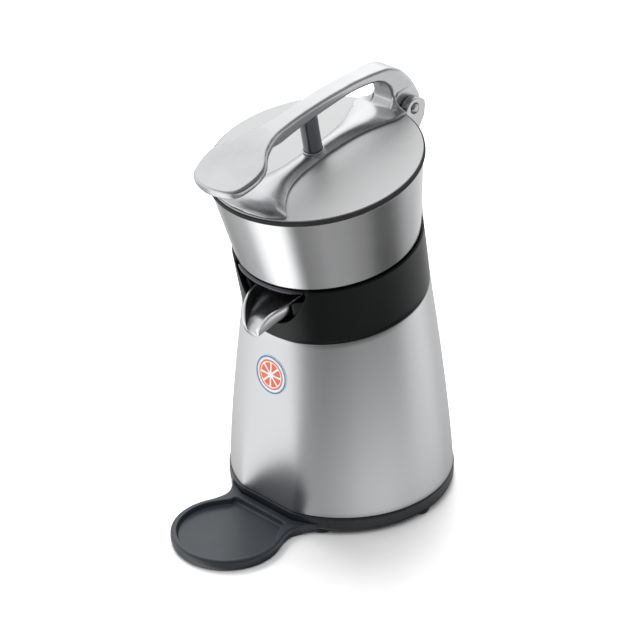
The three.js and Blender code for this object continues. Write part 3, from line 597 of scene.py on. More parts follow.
def make_badge():
    """A generic round badge: a citrus slice inside a blue ring."""
    place, radius = badge_place()
    back, front, inlay, slice_front = 0.06, 0.4, 0.25, 0.5
    plate = turned("badge_plate", [
        (0, back), (radius * 0.5, back), (radius - 0.1, back),
        (radius - 0.1, front), (radius * 0.5, front), (0, front),
    ], [0, 0, 0, 0.3, 0, 0], place, segments=96)
    place_piece(hug_shell(plate), "base", "badge_enamel", ENAMEL_WHITE, "badge")

    def hoop(name, inner, outer, top, softness, enamel):
        band = lathe(name, rectangle(inner, inlay, outer, top, softness), place, 96)
        place_piece(hug_shell(band), "base", "badge_enamel", enamel)

    hoop("badge_ring", radius - 2.2, radius - 0.6, 0.55, 0.15, ENAMEL_BLUE)
    segments = 8
    half = math.pi / segments * 0.78
    for i in range(segments):
        middle = 2 * math.pi * (i + 0.5) / segments
        arc = [polar(radius * 0.62, angle) for angle in spread(middle - half, middle + half, 6)]
        outline = rounded([polar(2.2, middle), *arc], [0.5, 0.9, 0, 0, 0, 0, 0, 0.9])
        wedge = block(f"badge_segment_{i + 1}", outline, inlay, slice_front, place, 0.1)
        place_piece(hug_shell(wedge), "base", "badge_enamel", ENAMEL_RED)
    hoop("badge_rind", radius * 0.68, radius * 0.76, slice_front, 0.12, ENAMEL_RED)


# -------------------- base, feet and rear panel

def base_outline(inset):
    """The base's outline: a circle with its front cut straight."""
    return [(x, planed(y, BASE.low.y + inset, 0.5)) for x, y in circle(BASE.reach - inset, ROUND_STEPS)]


def make_base():
    bottom, top = BASE.low.z, BASE.high.z
    levels = [
        (5.0, bottom), (3.2, bottom), (1.6, bottom + 0.7), (0.5, bottom + 2.0), (0.05, bottom + 3.6),
        (0.05, top - 1.9), (0.3, top - 0.9), (0.9, top - 0.25), (1.8, top - 0.02), (6.0, top - 0.02),
        (7.0, top - 1.0), (7.0, bottom + 4.0),
    ]
    rings = [[(x, y, z) for x, y in base_outline(inset)] for inset, z in levels]
    base = even_normals(skin("base_ring", rings, BODY))
    place_piece(base, "base", "black_plastic", BLACK_PLASTIC, "base_plate")


def make_feet():
    for i in range(1, 5):
        foot = Span(f"foot_{i}", BODY)
        place = BODY @ Matrix.Translation((foot.middle.x, foot.middle.y, 0))
        radius, top, hole = foot.half_width, foot.high.z, 2.1
        rubber_foot = turned(f"rubber_foot_{i}", [
            (hole, 2.4), (4.2, 2.4), (4.2, 0), (radius - 1.2, 0),
            (radius, 1.4), (radius - 0.3, top), (hole, top),
        ], [0, 0.2, 0.5, 0.9, 0.6, 0.2, 0], place, segments=64)
        place_piece(rubber_foot, "base", "black_rubber", RUBBER, f"foot_{i}")


# Along Y in the body's frame: from where to where the rear wall is cut, and the socket's floor.
REAR_CUT = (70, 110)
SOCKET_FLOOR = 79


def rear_outline(span, side, end, radius):
    """A node's outline seen from behind, wider by a margin at its sides and its ends."""
    return rectangle(span.low.x - side, span.low.z - end, span.high.x + side, span.high.z + end, radius)


def rear_block(name, span, radius, edge):
    """A block where a node of the rear panel lies."""
    return block(name, rear_outline(span, 0, 0, radius), span.low.y, span.high.y, BODY, edge, "Y")


def rear_room(name, span, side, end, radius):
    """A cutter right through the rear wall, around a node."""
    return block(name, rear_outline(span, side, end, radius), *REAR_CUT, BODY, 0.1, "Y")


def make_rear_panel():
    inlet = Span("power_inlet", BODY)
    rocker = Span("power_rocker", BODY)
    plate = rear_block("rear_plate", PANEL, 2.5, 0.8)
    inlet_room = rear_room("inlet_room", inlet, GAP, GAP, 1.0)
    subtract(plate, inlet_room, rear_room("rocker_room", rocker, 0.5, 1.2, 0.6))
    place_piece(even_normals(plate), "base", "black_plastic", BLACK_PLASTIC, "rear_panel")

    shroud = rear_block("inlet_shroud", inlet, 1.2, 0.5)
    wall, corner = 1.8, 5.5
    left, right, low, high = inlet.low.x, inlet.high.x, inlet.low.z, inlet.high.z
    socket = block("socket_room", rounded([
        (left + wall, low + wall), (right - wall, low + wall), (right - wall, high - corner),
        (right - corner, high - wall), (left + corner, high - wall), (left + wall, high - corner),
    ], 0.8), SOCKET_FLOOR, REAR_CUT[1], BODY, 0.1, "Y")
    subtract(shroud, socket)
    place_piece(even_normals(shroud), "base", "black_plastic", BLACK_PLASTIC, "power_inlet")
    for name in ("line", "neutral", "earth"):
        blade = rear_block(f"blade_{name}", Span(f"inlet_pin_{name}", BODY), 0.6, 0.6)
        place_piece(blade, "base", "brass", BRASS, f"inlet_pin_{name}")

    half = (rocker.high.z - rocker.low.z) / 2
    pivot = Vector(JOINTS["rocker_tilt"]["pos_m"])
    tip = math.radians(JOINTS["rocker_tilt"]["range_deg"][1]) / 2
    place = Matrix.Translation(pivot) @ Matrix.Rotation(-tip, 4, "X") @ Matrix.Scale(MM, 4)
    profile = rounded([
        (-3, -4), (3.4, -half + 0.6), (5.2, -half + 0.5), (4.5, 0),
        (5.2, half - 0.5), (3.4, half - 0.6), (-3, 4),
    ], [0.5, 0.5, 0.7, 8.0, 0.7, 0.5, 0.5], 6)
    key = block("rocker_key", profile, -rocker.half_width, rocker.half_width, place, 0.5, "X")
    place_piece(key, "rocker", "black_plastic", BLACK_GLOSS, "power_rocker")


# -------------------- collar, bowl, collector, strainer

NOTCH_HALF_WIDTH = 42.0
NOTCH_BOTTOM = 58.5
NOTCH_TOP = 97.5


def notch_height(x):
    """The collar's top edge over the spout: a scoop, steep at its sides."""
    part = min(1.0, abs(x) / NOTCH_HALF_WIDTH)
    return mix(NOTCH_BOTTOM, NOTCH_TOP, part ** 3)


def make_collar():
    wall, edge, swell, foot_inset = 3.0, 1.1, 0.55, 0.3
    bottom, top = COLLAR.low.z, COLLAR.high.z
    count, steps, edge_steps = 720, 14, 5
    sections = []
    for i in range(count):
        angle = 2 * math.pi * i / count
        across, ahead = math.sin(angle), -math.cos(angle)
        full = min(top, notch_height(COLLAR_RADIUS * across)) if ahead < 0 else top
        profile = []
        for k in range(steps + 1):
            height = mix(bottom, full - edge, k / steps)
            radius = COLLAR_RADIUS + swell * math.sin(math.pi / 2 * (height - bottom) / (top - bottom))
            profile.append((radius - (foot_inset if k == 0 else 0.0), height))
        outside = profile[-1][0]
        for k in range(1, edge_steps + 1):
            turn = math.pi / 2 * k / edge_steps
            profile.append((outside - edge * (1 - math.cos(turn)), full - edge * (1 - math.sin(turn))))
        profile += [(outside - wall + 0.6, full), (outside - wall, full - 0.8), (outside - wall, bottom)]
        sections.append([(r * across, r * ahead, h) for r, h in profile])
    collar = even_normals(skin("collar_ring", sections, HEAD, loop=True))
    place_piece(collar, "base", "collar_gloss", BLACK_GLOSS, "collar")


BOWL = Span("juice_bowl", HEAD)
BOWL_RIM_RADIUS = BOWL.reach
BOWL_BOTTOM_RADIUS = 79.5


def make_bowl():
    bottom, rim = BOWL.low.z, BOWL.high.z
    wall, floor, hole = 1.2, 1.9, 66
    bowl = turned("bowl_wall", [
        (hole, bottom), (BOWL_BOTTOM_RADIUS - 0.6, bottom), (BOWL_RIM_RADIUS - 0.05, rim - 0.1),
        (BOWL_RIM_RADIUS - wall, rim), (BOWL_BOTTOM_RADIUS - wall, bottom + floor), (hole, bottom + floor),
    ], [0.5, 2.6, 0.45, 0.45, 3.0, 0.5], steps=8, segments=256)
    place_piece(bowl, "base", "bowl_steel", STEEL_BOWL, "juice_bowl")

    # A rolled drip lip under the bowl's edge, as long as the collar's notch is wide; its steel is painted
    # near-black as the shade under the bowl.
    reach, thick, sides = math.radians(28), 1.9, 16
    rings = []
    for k in range(61):
        angle = mix(-reach, reach, k / 60)
        taper = min(1, 0.15 + 3.5 * (1 - abs(k / 30 - 1))) ** 0.5
        centre = (BOWL_BOTTOM_RADIUS - 0.5, bottom - 0.3 - thick)
        section = circle(thick * taper, sides, centre)
        rings.append([from_front(radius, angle, height) for radius, height in section])
    place_piece(skin("bowl_drip_lip", rings, HEAD), "base", "dark_steel", LIP_STEEL_PAINTED_SHADE)


def make_collector():
    """The cup that catches the juice; its front is open for the spout."""
    cup = Span("juice_collector", HEAD)
    radius, bottom, top = 76.5, cup.low.z, BOWL.low.z - 0.5
    hub_inside, hub_outside, hub_top = 10.5, 12.5, 99
    wall, floor = 2.5, 3
    collector = turned("collector_cup", [
        (hub_inside, bottom), (radius, bottom), (radius, top - 2), (radius + 1.6, top),
        (radius - wall, top), (radius - wall, bottom + floor), (hub_outside, bottom + floor),
        (hub_outside, hub_top), (hub_inside, hub_top),
    ], [0.4, 3.0, 1.0, 0.9, 0.5, 2.0, 1.5, 0.6, 0.4])
    half, shelf, mouth = 23.4, 79.5, NOTCH_HALF_WIDTH - 1
    low, high = bottom + 1.7, top - 3.2
    window = block("window_room", rounded([
        (-half, low), (half, low), (half, shelf), (mouth, shelf + 4),
        (mouth, high), (-mouth, high), (-mouth, shelf + 4), (-half, shelf),
    ], [0.5, 0.5, 3, 3, 3, 3, 3, 3]), -90, -66, HEAD, 0.1, "Y")
    subtract(collector, window)
    place_piece(even_normals(collector), "base", "collar_gloss", BLACK_GLOSS, "juice_collector")


def make_strainer():
    """A pan with rings of round holes in its floor."""
    floor, top = 92.4, 99.3
    vertices, faces = [], []
    rings, around, sides = 7, 84, 8
    inner, outer = 19.0, 57.5

    def point(radius, angle):
        vertices.append((*polar(radius, angle), floor))
        return len(vertices) - 1

    grid = {}
    for ring in range(rings + 1):
        for i in range(around):
            grid[ring, i] = point(mix(inner, outer, ring / rings), 2 * math.pi * i / around)
    for ring in range(rings):
        for i in range(around):
            after = (i + 1) % around
            corners = [grid[ring, i], grid[ring + 1, i], grid[ring + 1, after], grid[ring, after]]
            radius = mix(inner, outer, (ring + 0.5) / rings)
            angle = 2 * math.pi * (i + 0.5) / around
            if ring == 0 or (ring < 3 and i % 2):
                faces.append(corners)
                continue
            size = min(1.3, radius * math.pi / around * 0.62)
            hole = []
            for k in range(sides):
                turn = math.pi - 2 * math.pi * (k - 0.5) / sides
                hole.append(point(radius + size * math.cos(turn), angle + size * math.sin(turn) / radius))
            for k in range(4):
                a, b = corners[k], corners[(k + 1) % 4]
                h = [hole[(2 * k + j) % sides] for j in range(3)]
                faces.append((a, b, h[2], h[1], h[0]))
    pan = new_object("strainer_floor", vertices, faces, HEAD)
    thick = pan.modifiers.new("thickness", "SOLIDIFY")
    thick.thickness = 0.8 * MM
    thick.offset = 0
    place_piece(pan, "base", "bowl_steel", STEEL_BOWL, "strainer")
    wall = turned("strainer_wall", [
        (57.2, floor - 0.5), (57.9, floor - 0.5), (61.6, top), (75.5, top),
        (75.5, top + 0.7), (61.0, top + 0.7), (57.2, floor + 0.5),
    ], [0.2, 0.8, 1.2, 0.3, 0.3, 1.2, 0.5])
    place_piece(wall, "base", "bowl_steel", STEEL_BOWL)
    inside, sleeve_top = 15.5, 103
    sleeve = turned("strainer_sleeve", [
        (inside, floor - 0.5), (19.3, floor - 0.5), (19.3, floor + 0.4),
        (16.7, floor + 1.4), (16.7, sleeve_top), (inside, sleeve_top),
    ], [0.2, 0.2, 0.3, 1.0, 0.5, 0.3], segments=96)
    place_piece(sleeve, "base", "bowl_steel", STEEL_BOWL)


# -------------------- spout

def spout_ring(row):
    """A U-shaped section with a rounded rim: (distance ahead, half width, rim, floor, fullness, wall)."""
    ahead, half, rim, floor, fullness, wall = row
    steps = 28

    def arc(inset, angles):
        points = []
        for angle in angles:
            cosine, sine = math.cos(angle), math.sin(angle)
            side = math.copysign(abs(cosine) ** fullness, cosine) * (half - inset)
            drop = abs(sine) ** fullness * (rim - floor - inset)
            points.append((side, -ahead, rim - drop))
        return points

    angles = spread(0, math.pi, steps)
    outer = arc(0, angles)
    inner = arc(wall, list(reversed(angles)))
    lip = wall / 2

    def rim_arc(centre_x):
        points = []
        for k in range(1, 6):
            turn = math.pi * (1 - k / 6)
            points.append((centre_x + lip * math.cos(turn), -ahead, rim + 0.45 * lip * math.sin(turn)))
        return points

    return outer + rim_arc(-half + lip) + inner + rim_arc(half - lip)


def make_spout():
    keys = [
        (50.0, 23.0, 79.0, 63.4, 0.55, 1.8), (58.0, 23.0, 78.9, 63.4, 0.55, 1.8),
        (66.0, 22.8, 78.6, 63.2, 0.55, 2.0), (73.0, 22.0, 78.2, 62.7, 0.55, 2.2),
        (79.0, 20.4, 77.8, 62.0, 0.55, 2.5), (84.0, 18.8, 77.0, 61.2, 0.56, 2.9),
        (88.5, 17.0, 75.4, 60.2, 0.58, 3.3), (92.2, 15.2, 73.2, 59.0, 0.6, 3.6),
        (95.3, 13.4, 70.2, 57.6, 0.62, 3.8), (97.8, 11.6, 67.0, 56.2, 0.66, 3.8),
        (99.6, 10.0, 64.2, 55.0, 0.7, 3.6), (100.6, 8.6, 62.0, 54.2, 0.76, 3.2),
    ]
    rings = [spout_ring(row) for row in stations(keys, 66)]
    spout = skin("spout_beak", rings, HEAD)
    soft = spout.modifiers.new("soft_tip", "BEVEL")
    soft.limit_method = "ANGLE"
    soft.angle_limit = math.radians(50)
    soft.width = 0.7 * MM
    soft.segments = 3
    place_piece(spout, "base", "bowl_steel", STEEL_SPOUT, "spout")


# -------------------- lid, lever and post

LID = Span("lid", HEAD)
LEVER_BOTTOM = LID.high.z + GAP
PIN = HEAD.inverted() @ Vector(JOINTS["lever_hinge"]["pos_m"])
LEVER_VOXEL = 0.6
ROD_HOLE = 4.3
PIN_HOLE = 4.5
KNUCKLE_HALF_WIDTH = 12


def bridge_ring(row):
    """A section of the bridge on the lid: (y, half width, crest, edge, how flat its top is)."""
    y, half, crest, edge, flatness = row
    steps = 24
    top = []
    for across in spread(1, -1, steps):
        top.append((across * half, y, LEVER_BOTTOM + mix(edge, crest, 1 - abs(across) ** flatness)))
    bottom = [(x, y, LEVER_BOTTOM) for x in spread(-half, half, steps)]
    return top + bottom


def arm_ring(row):
    """A section between a point on the arm's top line and one on its underside, with round edges."""
    top_y, top, bottom_y, bottom, half = row
    height = math.hypot(top_y - bottom_y, top - bottom)
    outline = rounded([
        (-half * 0.93, 0), (half * 0.93, 0), (half, height), (-half, height),
    ], [2.2, 2.2, 2.4, 2.4], 7)
    return [(x, mix(bottom_y, top_y, rise / height), mix(bottom, top, rise / height)) for x, rise in outline]


def paddle_ring(row):
    """A section of the thumb paddle: (y, half width, top height)."""
    y, half, top = row
    thick = 7.3
    return [(x, y, top - thick + rise) for x, rise in rectangle(-half, 0, half, thick, 2.4, 7)]


BRIDGE = [
    (-88.7, 9, 2.0, 0.5, 3), (-87.0, 20, 3.2, 0.6, 3), (-84, 30, 5.0, 0.7, 2.8), (-79, 38.5, 6.6, 0.8, 2.6),
    (-75, 39.6, 7.2, 0.8, 2.6), (-70, 34.5, 7.4, 0.9, 2.5), (-66, 30, 7.3, 1.0, 2.4),
    (-57, 22.8, 7.0, 1.2, 2.2), (-45, 15.6, 6.5, 1.4, 2.0), (-27, 10.6, 6.1, 1.8, 2.0),
    (-7.5, 9.4, 6.0, 2.2, 2.2), (12, 8.9, 6.0, 2.2, 2.2),
    (30, 10.1, 5.7, 1.8, 2.0), (47, 13.2, 4.8, 1.5, 2.0), (61, 18.2, 3.8, 1.5, 2.2), (74, 23, 3.0, 1.8, 2.6),
    (80, 24.6, 2.7, 2.0, 3), (87, 24.8, 2.6, 2.0, 3),
]
ARM = [
    (-56, 225.3, -56, 218.2, 14.8), (-50, 226.0, -50, 216.7, 12.9), (-45, 226.3, -45, 215.3, 11.6),
    (-41, 226.3, -41.2, 214.4, 10.8), (-30, 226.1, -31, 214.3, 9.8), (-19, 226.0, -21.6, 214.5, 9.3),
    (-7.5, 225.8, -10, 214.7, 9.2), (4, 225.4, 2, 214.7, 9.2), (16, 224.8, 14, 214.6, 9.2),
    (28, 223.9, 26, 214.5, 9.3), (39, 222.7, 37, 214.1, 9.2), (50, 221.6, 47, 213.3, 9.2),
    (60, 220.0, 56, 212.0, 9.4), (70, 218.4, 63.5, 210.6, 9.8), (79, 216.7, 70, 209.0, 10.4),
    (87.4, 214.6, 75.6, 206.8, 11), (94.6, 210.9, 80.2, 203.5, 11.6), (100.9, 205.9, 84, 198.6, 12),
    (106.1, 199.4, 86.5, 193.4, 12), (110.7, 192.2, 87.4, 188.2, 12), (114.2, 185, 86.6, 183, 12),
    (116.4, 179, 83.8, 179.2, 12), (117, 174, 79.4, 177.2, 12), (116, 170, 74, 175.6, 12),
]
PADDLE = [
    (-40, 10.4, 226.1), (-46, 11.8, 226.2), (-50, 12.9, 226.0), (-54.5, 14.2, 225.5), (-58.4, 15.9, 224.9),
    (-62.6, 17.7, 224.1), (-66, 19.9, 223.4), (-69.4, 22.4, 222.6), (-72.4, 25.0, 221.9),
    (-75.5, 27.3, 221.1),
    (-80, 29.6, 220.0), (-84, 30.3, 219.0), (-88, 30.5, 218.0), (-92.4, 30.1, 216.9), (-97, 29.1, 215.8),
    (-102, 27.7, 214.7), (-106.5, 25.6, 213.8), (-110, 21.8, 213.2), (-112.7, 15.5, 212.9),
    (-114.6, 7.5, 212.7), (-115.3, 1.5, 212.6),
]
HINGE_KNUCKLE = [
    (78, LEVER_BOTTOM), (92.6, LEVER_BOTTOM), (93.6, 166), (97, 160.4), (104, 157.9), (113, 160.4),
    (118.2, 167), (118.2, 173), (116, 179), (108, 188), (92, 188), (88.5, 181), (80, 176.6),
]


def web_ring(y, side):
    """A concave web from the hump's side down to the bridge's edge, on the side of one sign."""
    inner, foot, steps = 11.0, 2.4, 10
    bridge_edge = mix(20, 24.6, smoothstep((y - 66) / 10))
    lid_edge = math.sqrt(90.5 ** 2 - y ** 2)
    outer = max(inner + 1, min(bridge_edge, lid_edge))
    height = mix(foot, 13, smoothstep((y - 81) / 9))
    ring = [(side * inner, y, LEVER_BOTTOM), (side * outer, y, LEVER_BOTTOM)]
    for part in spread(0, 1, steps):
        ring.append((side * mix(outer, inner, part), y, LEVER_BOTTOM + mix(foot, height, part ** 2.2)))
    return ring


def make_lever():
    post = Span("guide_post", HEAD)
    ring = Span("post_ring", HEAD)
    bridge = skin("bridge", [bridge_ring(row) for row in stations(BRIDGE, 150)], HEAD)
    arm = skin("arm", [arm_ring(row) for row in stations(ARM, 140)], HEAD)
    paddle = skin("paddle", [paddle_ring(row) for row in stations(PADDLE, 120)], HEAD)
    outline = rounded(HINGE_KNUCKLE, [1, 1, 3, 4, 4, 4, 4, 4, 6, 6, 1, 3, 1], 4)
    knuckle = block("knuckle", outline, -KNUCKLE_HALF_WIDTH, KNUCKLE_HALF_WIDTH, HEAD, 1.2, "X", 4)
    webs = []
    for side in (-1, 1):
        webs.append(skin("web", [web_ring(y, side) for y in spread(70, 89.4, 30)], HEAD))
    boss = block("post_boss", circle(ring.half_width, 64), LEVER_BOTTOM, post.low.z - GAP, HEAD, 0.3)
    lever = fused("lever_casting", [bridge, arm, knuckle, *webs, paddle, boss], LEVER_VOXEL, 7)

    def room(name, radius, count, low, high, centre=(0, 0), axis="Z"):
        return block(name, circle(radius, count, centre), low, high, HEAD, 0.05, axis)

    subtract(
        lever,
        room("pin_room", PIN_HOLE, 48, -20, 20, (PIN.y, PIN.z), "X"),
        room("post_room", post.half_width + GAP, 48, post.low.z - GAP, post.high.z + GAP),
        room("ring_room", ring.half_width + GAP, 48, ring.low.z - GAP, ring.high.z + 4),
        room("rod_room", ROD_HOLE, 32, LID.high.z - 1, 200),
    )
    place_piece(lever, "lever", "cast_aluminium", ALUMINIUM, "lever")


def make_lid():
    low, high, reach = LID.low.z, LID.high.z, LID.reach
    plate = turned("lid_plate", [
        (ROD_HOLE, low), (reach - 0.05, low), (reach - 0.05, high - 0.25),
        (reach * 0.6, high - 0.05), (ROD_HOLE, high),
    ], [0.2, 0.4, 0.6, 60, 0.2], steps=8, segments=256)
    place_piece(plate, "lever", "lid_steel", STEEL_LID, "lid")
    gasket = Span("lid_gasket", HEAD)
    width, drop = 4.3, 0.9
    inner, outer, rebate = gasket.reach - width, gasket.reach - 0.05, reach + GAP
    bottom, top = gasket.low.z, gasket.high.z - drop
    seal = turned("lid_seal", [
        (inner, bottom), (outer, bottom), (outer, top), (rebate, top),
        (rebate, low - GAP), (inner, low - GAP),
    ], [0.4, 1.2, 0.6, 0.2, 0.2, 0.4], steps=6, segments=256)
    place_piece(seal, "lever", "black_rubber", RUBBER, "lid_gasket")


def make_post():
    post = Span("guide_post", HEAD)
    profile = rectangle(ROD_HOLE, post.low.z, post.half_width, post.high.z, [0.2, 0.6, 0.6, 0.2])
    # The post's steel is darkened as painted shade.
    place_piece(lathe("post_column", profile, HEAD, 96), "lever", "dark_steel", STEEL_DARKENED_AS_SHADE, "guide_post")
    ring = Span("post_ring", HEAD)
    profile = rectangle(post.half_width + GAP, ring.low.z, ring.half_width, ring.high.z, [0.1, 0.3, 0.6, 0.3])
    place_piece(lathe("post_washer", profile, HEAD, 96), "lever", "screw_steel", SCREW_STEEL, "post_ring")


def make_screws():
    for i in range(1, 5):
        screw = Span(f"lid_screw_{i}", HEAD)
        place = HEAD @ Matrix.Translation((screw.middle.x, screw.middle.y, 0))
        radius, bottom, top, shank = screw.half_width, screw.low.z, screw.high.z, 1.9
        head = turned(f"lid_screw_head_{i}", [
            (0, bottom + 1.2), (shank, bottom + 1.2), (shank, bottom), (radius, bottom + 0.2),
            (radius, bottom + 2.3), (shank, bottom + 2.3), (shank, top), (0, top),
        ], [0, 0.1, 0.3, 0.8, 0.2, 0.1, 0.4, 0], place, 4, 48)
        place_piece(head, "lever", "screw_steel", SCREW_STEEL, f"lid_screw_{i}")


# -------------------- hinge column and pin

def make_column():
    column = bpy.data.objects.new("column_copy", frame["nodes"]["hinge_column"].data.copy())
    bpy.context.scene.collection.objects.link(column)
    casting = fused("column_casting", [column], LEVER_VOXEL, 8)
    place_piece(casting, "base", "cast_aluminium", ALUMINIUM, "hinge_column")


def make_pin():
    half = Span("hinge_pin", HEAD).half_width
    radius, end_radius, taper = 4.2, 2.6, 1.4
    place = HEAD @ Matrix.Translation(PIN) @ Matrix.Rotation(math.pi / 2, 4, "Y")
    rod = turned("pin_rod", [
        (0, -half), (end_radius, -half), (radius, -half + taper),
        (radius, half - taper), (end_radius, half), (0, half),
    ], [0, 1.2, 0.8, 0.8, 1.2, 0], place, 6, 64)
    place_piece(rod, "base", "dark_steel", SCREW_STEEL, "hinge_pin")


# -------------------- reamer, pressing cup and spring

def make_reamer():
    reamer = Span("reamer", HEAD)
    bottom, top = reamer.low.z, reamer.high.z
    ribs, around, levels = 10, 240, 60
    skirt_height = 4.2
    rings = []
    for i in range(levels + 1):
        rise = math.sin(math.pi / 2 * i / levels)
        radius = mix(35.0, 0.6, rise ** 1.5)
        groove = 0.2 * math.sin(math.pi * min(1, rise * 0.92 + 0.1)) ** 0.8
        ring = []
        for k in range(around):
            angle = 2 * math.pi * k / around
            wave = abs(math.sin(ribs * angle / 2))
            reach = radius * (1 - groove * wave ** 0.8)
            ring.append(from_front(reach, angle, mix(bottom + skirt_height, top, rise)))
        rings.append(ring)
    cone = skin("reamer_cone", rings, HEAD)
    place_piece(cone, "drive", "white_nylon", WHITE_NYLON, "reamer")
    bore, flange, step = 8.6, 36.9, bottom + 5.0
    skirt = turned("reamer_skirt", [
        (bore, bottom), (flange, bottom), (flange, bottom + 2.2), (33.5, step), (bore, step),
    ], [0.3, 0.6, 1.0, 1.5, 0.3])
    place_piece(skirt, "drive", "white_nylon", WHITE_NYLON)


def make_pressing_cup():
    cup = Span("pressing_cup", HEAD)
    rim, top, reach = cup.low.z, cup.high.z, cup.reach

    def dome(radius, height, steps=28):
        points = []
        for k in range(steps + 1):
            angle = math.pi / 2 * k / steps
            reach_here = 0.0 if k == steps else radius * math.cos(angle) ** 0.55
            points.append((reach_here, mix(rim, height, math.sin(angle) ** 1.1)))
        return points

    outer = dome(reach - 0.1, top - 0.05)
    inner = list(reversed(dome(reach - 2.1, top - 2.0)))
    inner[-1] = (inner[-1][0], rim + 0.01)
    shell = lathe("cup_dome", inner + outer, HEAD, 160)
    place_piece(shell, "press_cup", "cast_aluminium", STEEL_BOWL, "pressing_cup")
    rod = Span("cup_rod", HEAD)
    stem_radius, flange = 4, rod.low.z + 1.7
    stem = turned("cup_stem", [
        (0, rod.low.z), (6.3, rod.low.z), (6.3, flange), (stem_radius, flange), (stem_radius, rod.high.z),
        (0, rod.high.z),
    ], [0, 0.4, 0.6, 0.6, 0.8, 0], steps=4, segments=64)
    place_piece(stem, "press_cup", "dark_steel", SCREW_STEEL, "cup_rod")
    spring = Span("cup_spring", HEAD)
    turns, per_turn, sides = 3.5, 40, 12
    wire = 0.85
    coil = spring.reach - wire
    rings = []
    for i in range(int(turns * per_turn) + 1):
        angle = 2 * math.pi * i / per_turn
        height = mix(spring.low.z + wire, spring.high.z - wire, i / (turns * per_turn))
        section = circle(wire, sides, (coil, height))
        rings.append([(*polar(reach_here, angle), level) for reach_here, level in section])
    coil_piece = skin("spring_coil", rings, HEAD)
    place_piece(coil_piece, "press_cup", "screw_steel", SCREW_STEEL, "cup_spring")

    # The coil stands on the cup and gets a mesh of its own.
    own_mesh(coil_piece)


# -------------------- drip tray

TRAY = Span("drip_tray", BODY)
TRAY_RADIUS = 48.9
TRAY_Y = TRAY.low.y + TRAY_RADIUS
TRAY_RIM = TRAY.high.z
TRAY_POINTS = 480
WELL_RADIUS = 44.0
WELL_REAR_Y = -102.5
WELL_REAR_HALF_WIDTH = 26.5


def resampled(points, count):
    """The same closed line with evenly spaced points."""
    loop = [Vector(point) for point in points] + [Vector(points[0])]
    lengths = [0.0]
    for before, after in zip(loop, loop[1:]):
        lengths.append(lengths[-1] + (after - before).length)
    result = []
    k = 0
    for i in range(count):
        target = lengths[-1] * i / count
        while lengths[k + 1] < target:
            k += 1
        part = (target - lengths[k]) / max(1e-9, lengths[k + 1] - lengths[k])
        result.append(loop[k].lerp(loop[k + 1], part))
    return result


def bezier(start, handle, end, count):
    points = []
    for k in range(count):
        t = k / count
        points.append(Vector(start) * (1 - t) ** 2 + Vector(handle) * 2 * t * (1 - t) + Vector(end) * t ** 2)
    return points


def front_arc(radius, start):
    """The tray's round front, from an angle on its right-hand side to its middle."""
    points = []
    for angle in spread(start, -math.pi / 2, 60):
        x, y = polar(radius, angle)
        points.append(Vector((x, TRAY_Y + y)))
    return points


def both_sides(side):
    """An outline of evenly spaced points from its right-hand half, rear to front."""
    mirrored = [Vector((-point.x, point.y)) for point in reversed(side[1:-1])]
    return resampled(side + mirrored, TRAY_POINTS)


def rear_edge(x):
    """Where the tray's rear edge runs, just in front of the base."""
    clear = 0.45
    reach = BASE.reach + clear
    if abs(x) >= reach:
        return TRAY_Y
    return max(-math.sqrt(reach ** 2 - x * x), BASE.low.y - clear)


def tray_outline():
    """From the middle of the rear edge, round by the right-hand side."""
    waist, flare = Vector((40.3, -107.5)), Vector((52.2, -86.0))
    front = front_arc(TRAY_RADIUS, math.radians(25))
    side = []
    for k in range(40):
        x = flare.x * k / 40
        side.append(Vector((x, rear_edge(x))))
    side += bezier(flare, (waist.x - 0.5, flare.y - 9), waist, 24)
    side += bezier(waist, (waist.x + 1, waist.y - 8), front[0], 16)
    return both_sides(side + front)


def dish_outline(radius):
    """The well's outline: a round front and two straight sides to a straight rear."""
    grow = radius - WELL_RADIUS
    corner = Vector((WELL_REAR_HALF_WIDTH + grow, WELL_REAR_Y + grow))
    front = front_arc(radius, math.radians(34))
    side = [Vector((corner.x * k / 12, corner.y)) for k in range(12)]
    side += bezier(corner, (corner.x + 5, corner.y - 1.5), corner.lerp(front[0], 0.35), 10)
    side += [corner.lerp(front[0], mix(0.35, 1, k / 12)) for k in range(12)]
    return both_sides(side + front)


def inset_loop(points, inset):
    count = len(points)
    result = []
    for i in range(count):
        side = points[(i + 2) % count] - points[i - 2]
        normal = Vector((side.y, -side.x)).normalized()
        result.append(points[i] + normal * inset)
    return result


def make_tray():
    outline = tray_outline()
    slope, edge, steps = 0.02, 2.0, 5
    outer_levels = [
        (6.0, 1.0), (4.2, 0.0), (3.0, 0.0), (2.0, 0.5), (1.1, 2.0), (0.35, 4.2), (slope, 6.2), (slope, 8.7),
    ]
    for turn in spread(0, math.pi / 2, steps):
        outer_levels.append((slope + edge * (1 - math.cos(turn)), TRAY_RIM - edge * (1 - math.sin(turn))))
    rings = []
    for inset, height in outer_levels:
        ring = []
        for point, moved in zip(outline, inset_loop(outline, inset)):
            # Near the base the wall stays upright, and its foot rises to the base ring's lower edge.
            moved = point.lerp(moved, smoothstep((-92 - point.y) / 12))
            lift = (BASE.low.z + 0.5) * (1 - smoothstep((-87 - point.y) / 14))
            ring.append((moved.x, min(moved.y, rear_edge(moved.x)), mix(lift, TRAY_RIM, height / TRAY_RIM)))
        rings.append(ring)
    well_levels = (
        (WELL_RADIUS + 0.6, TRAY_RIM), (WELL_RADIUS, TRAY_RIM - 0.25), (WELL_RADIUS - 0.5, TRAY_RIM - 0.9),
        (WELL_RADIUS - 0.9, 6.9), (WELL_RADIUS - 1.6, 5.9), (WELL_RADIUS - 3.0, 5.55),
    )
    dish = [[(point.x, point.y, height) for point in dish_outline(radius)] for radius, height in well_levels]
    tray = skin("tray_dish", rings, BODY)
    join_at_rim(tray, skin("tray_well", dish, BODY))
    place_piece(even_normals(tray), "tray", "tray_plastic", TRAY_PLASTIC, "drip_tray")


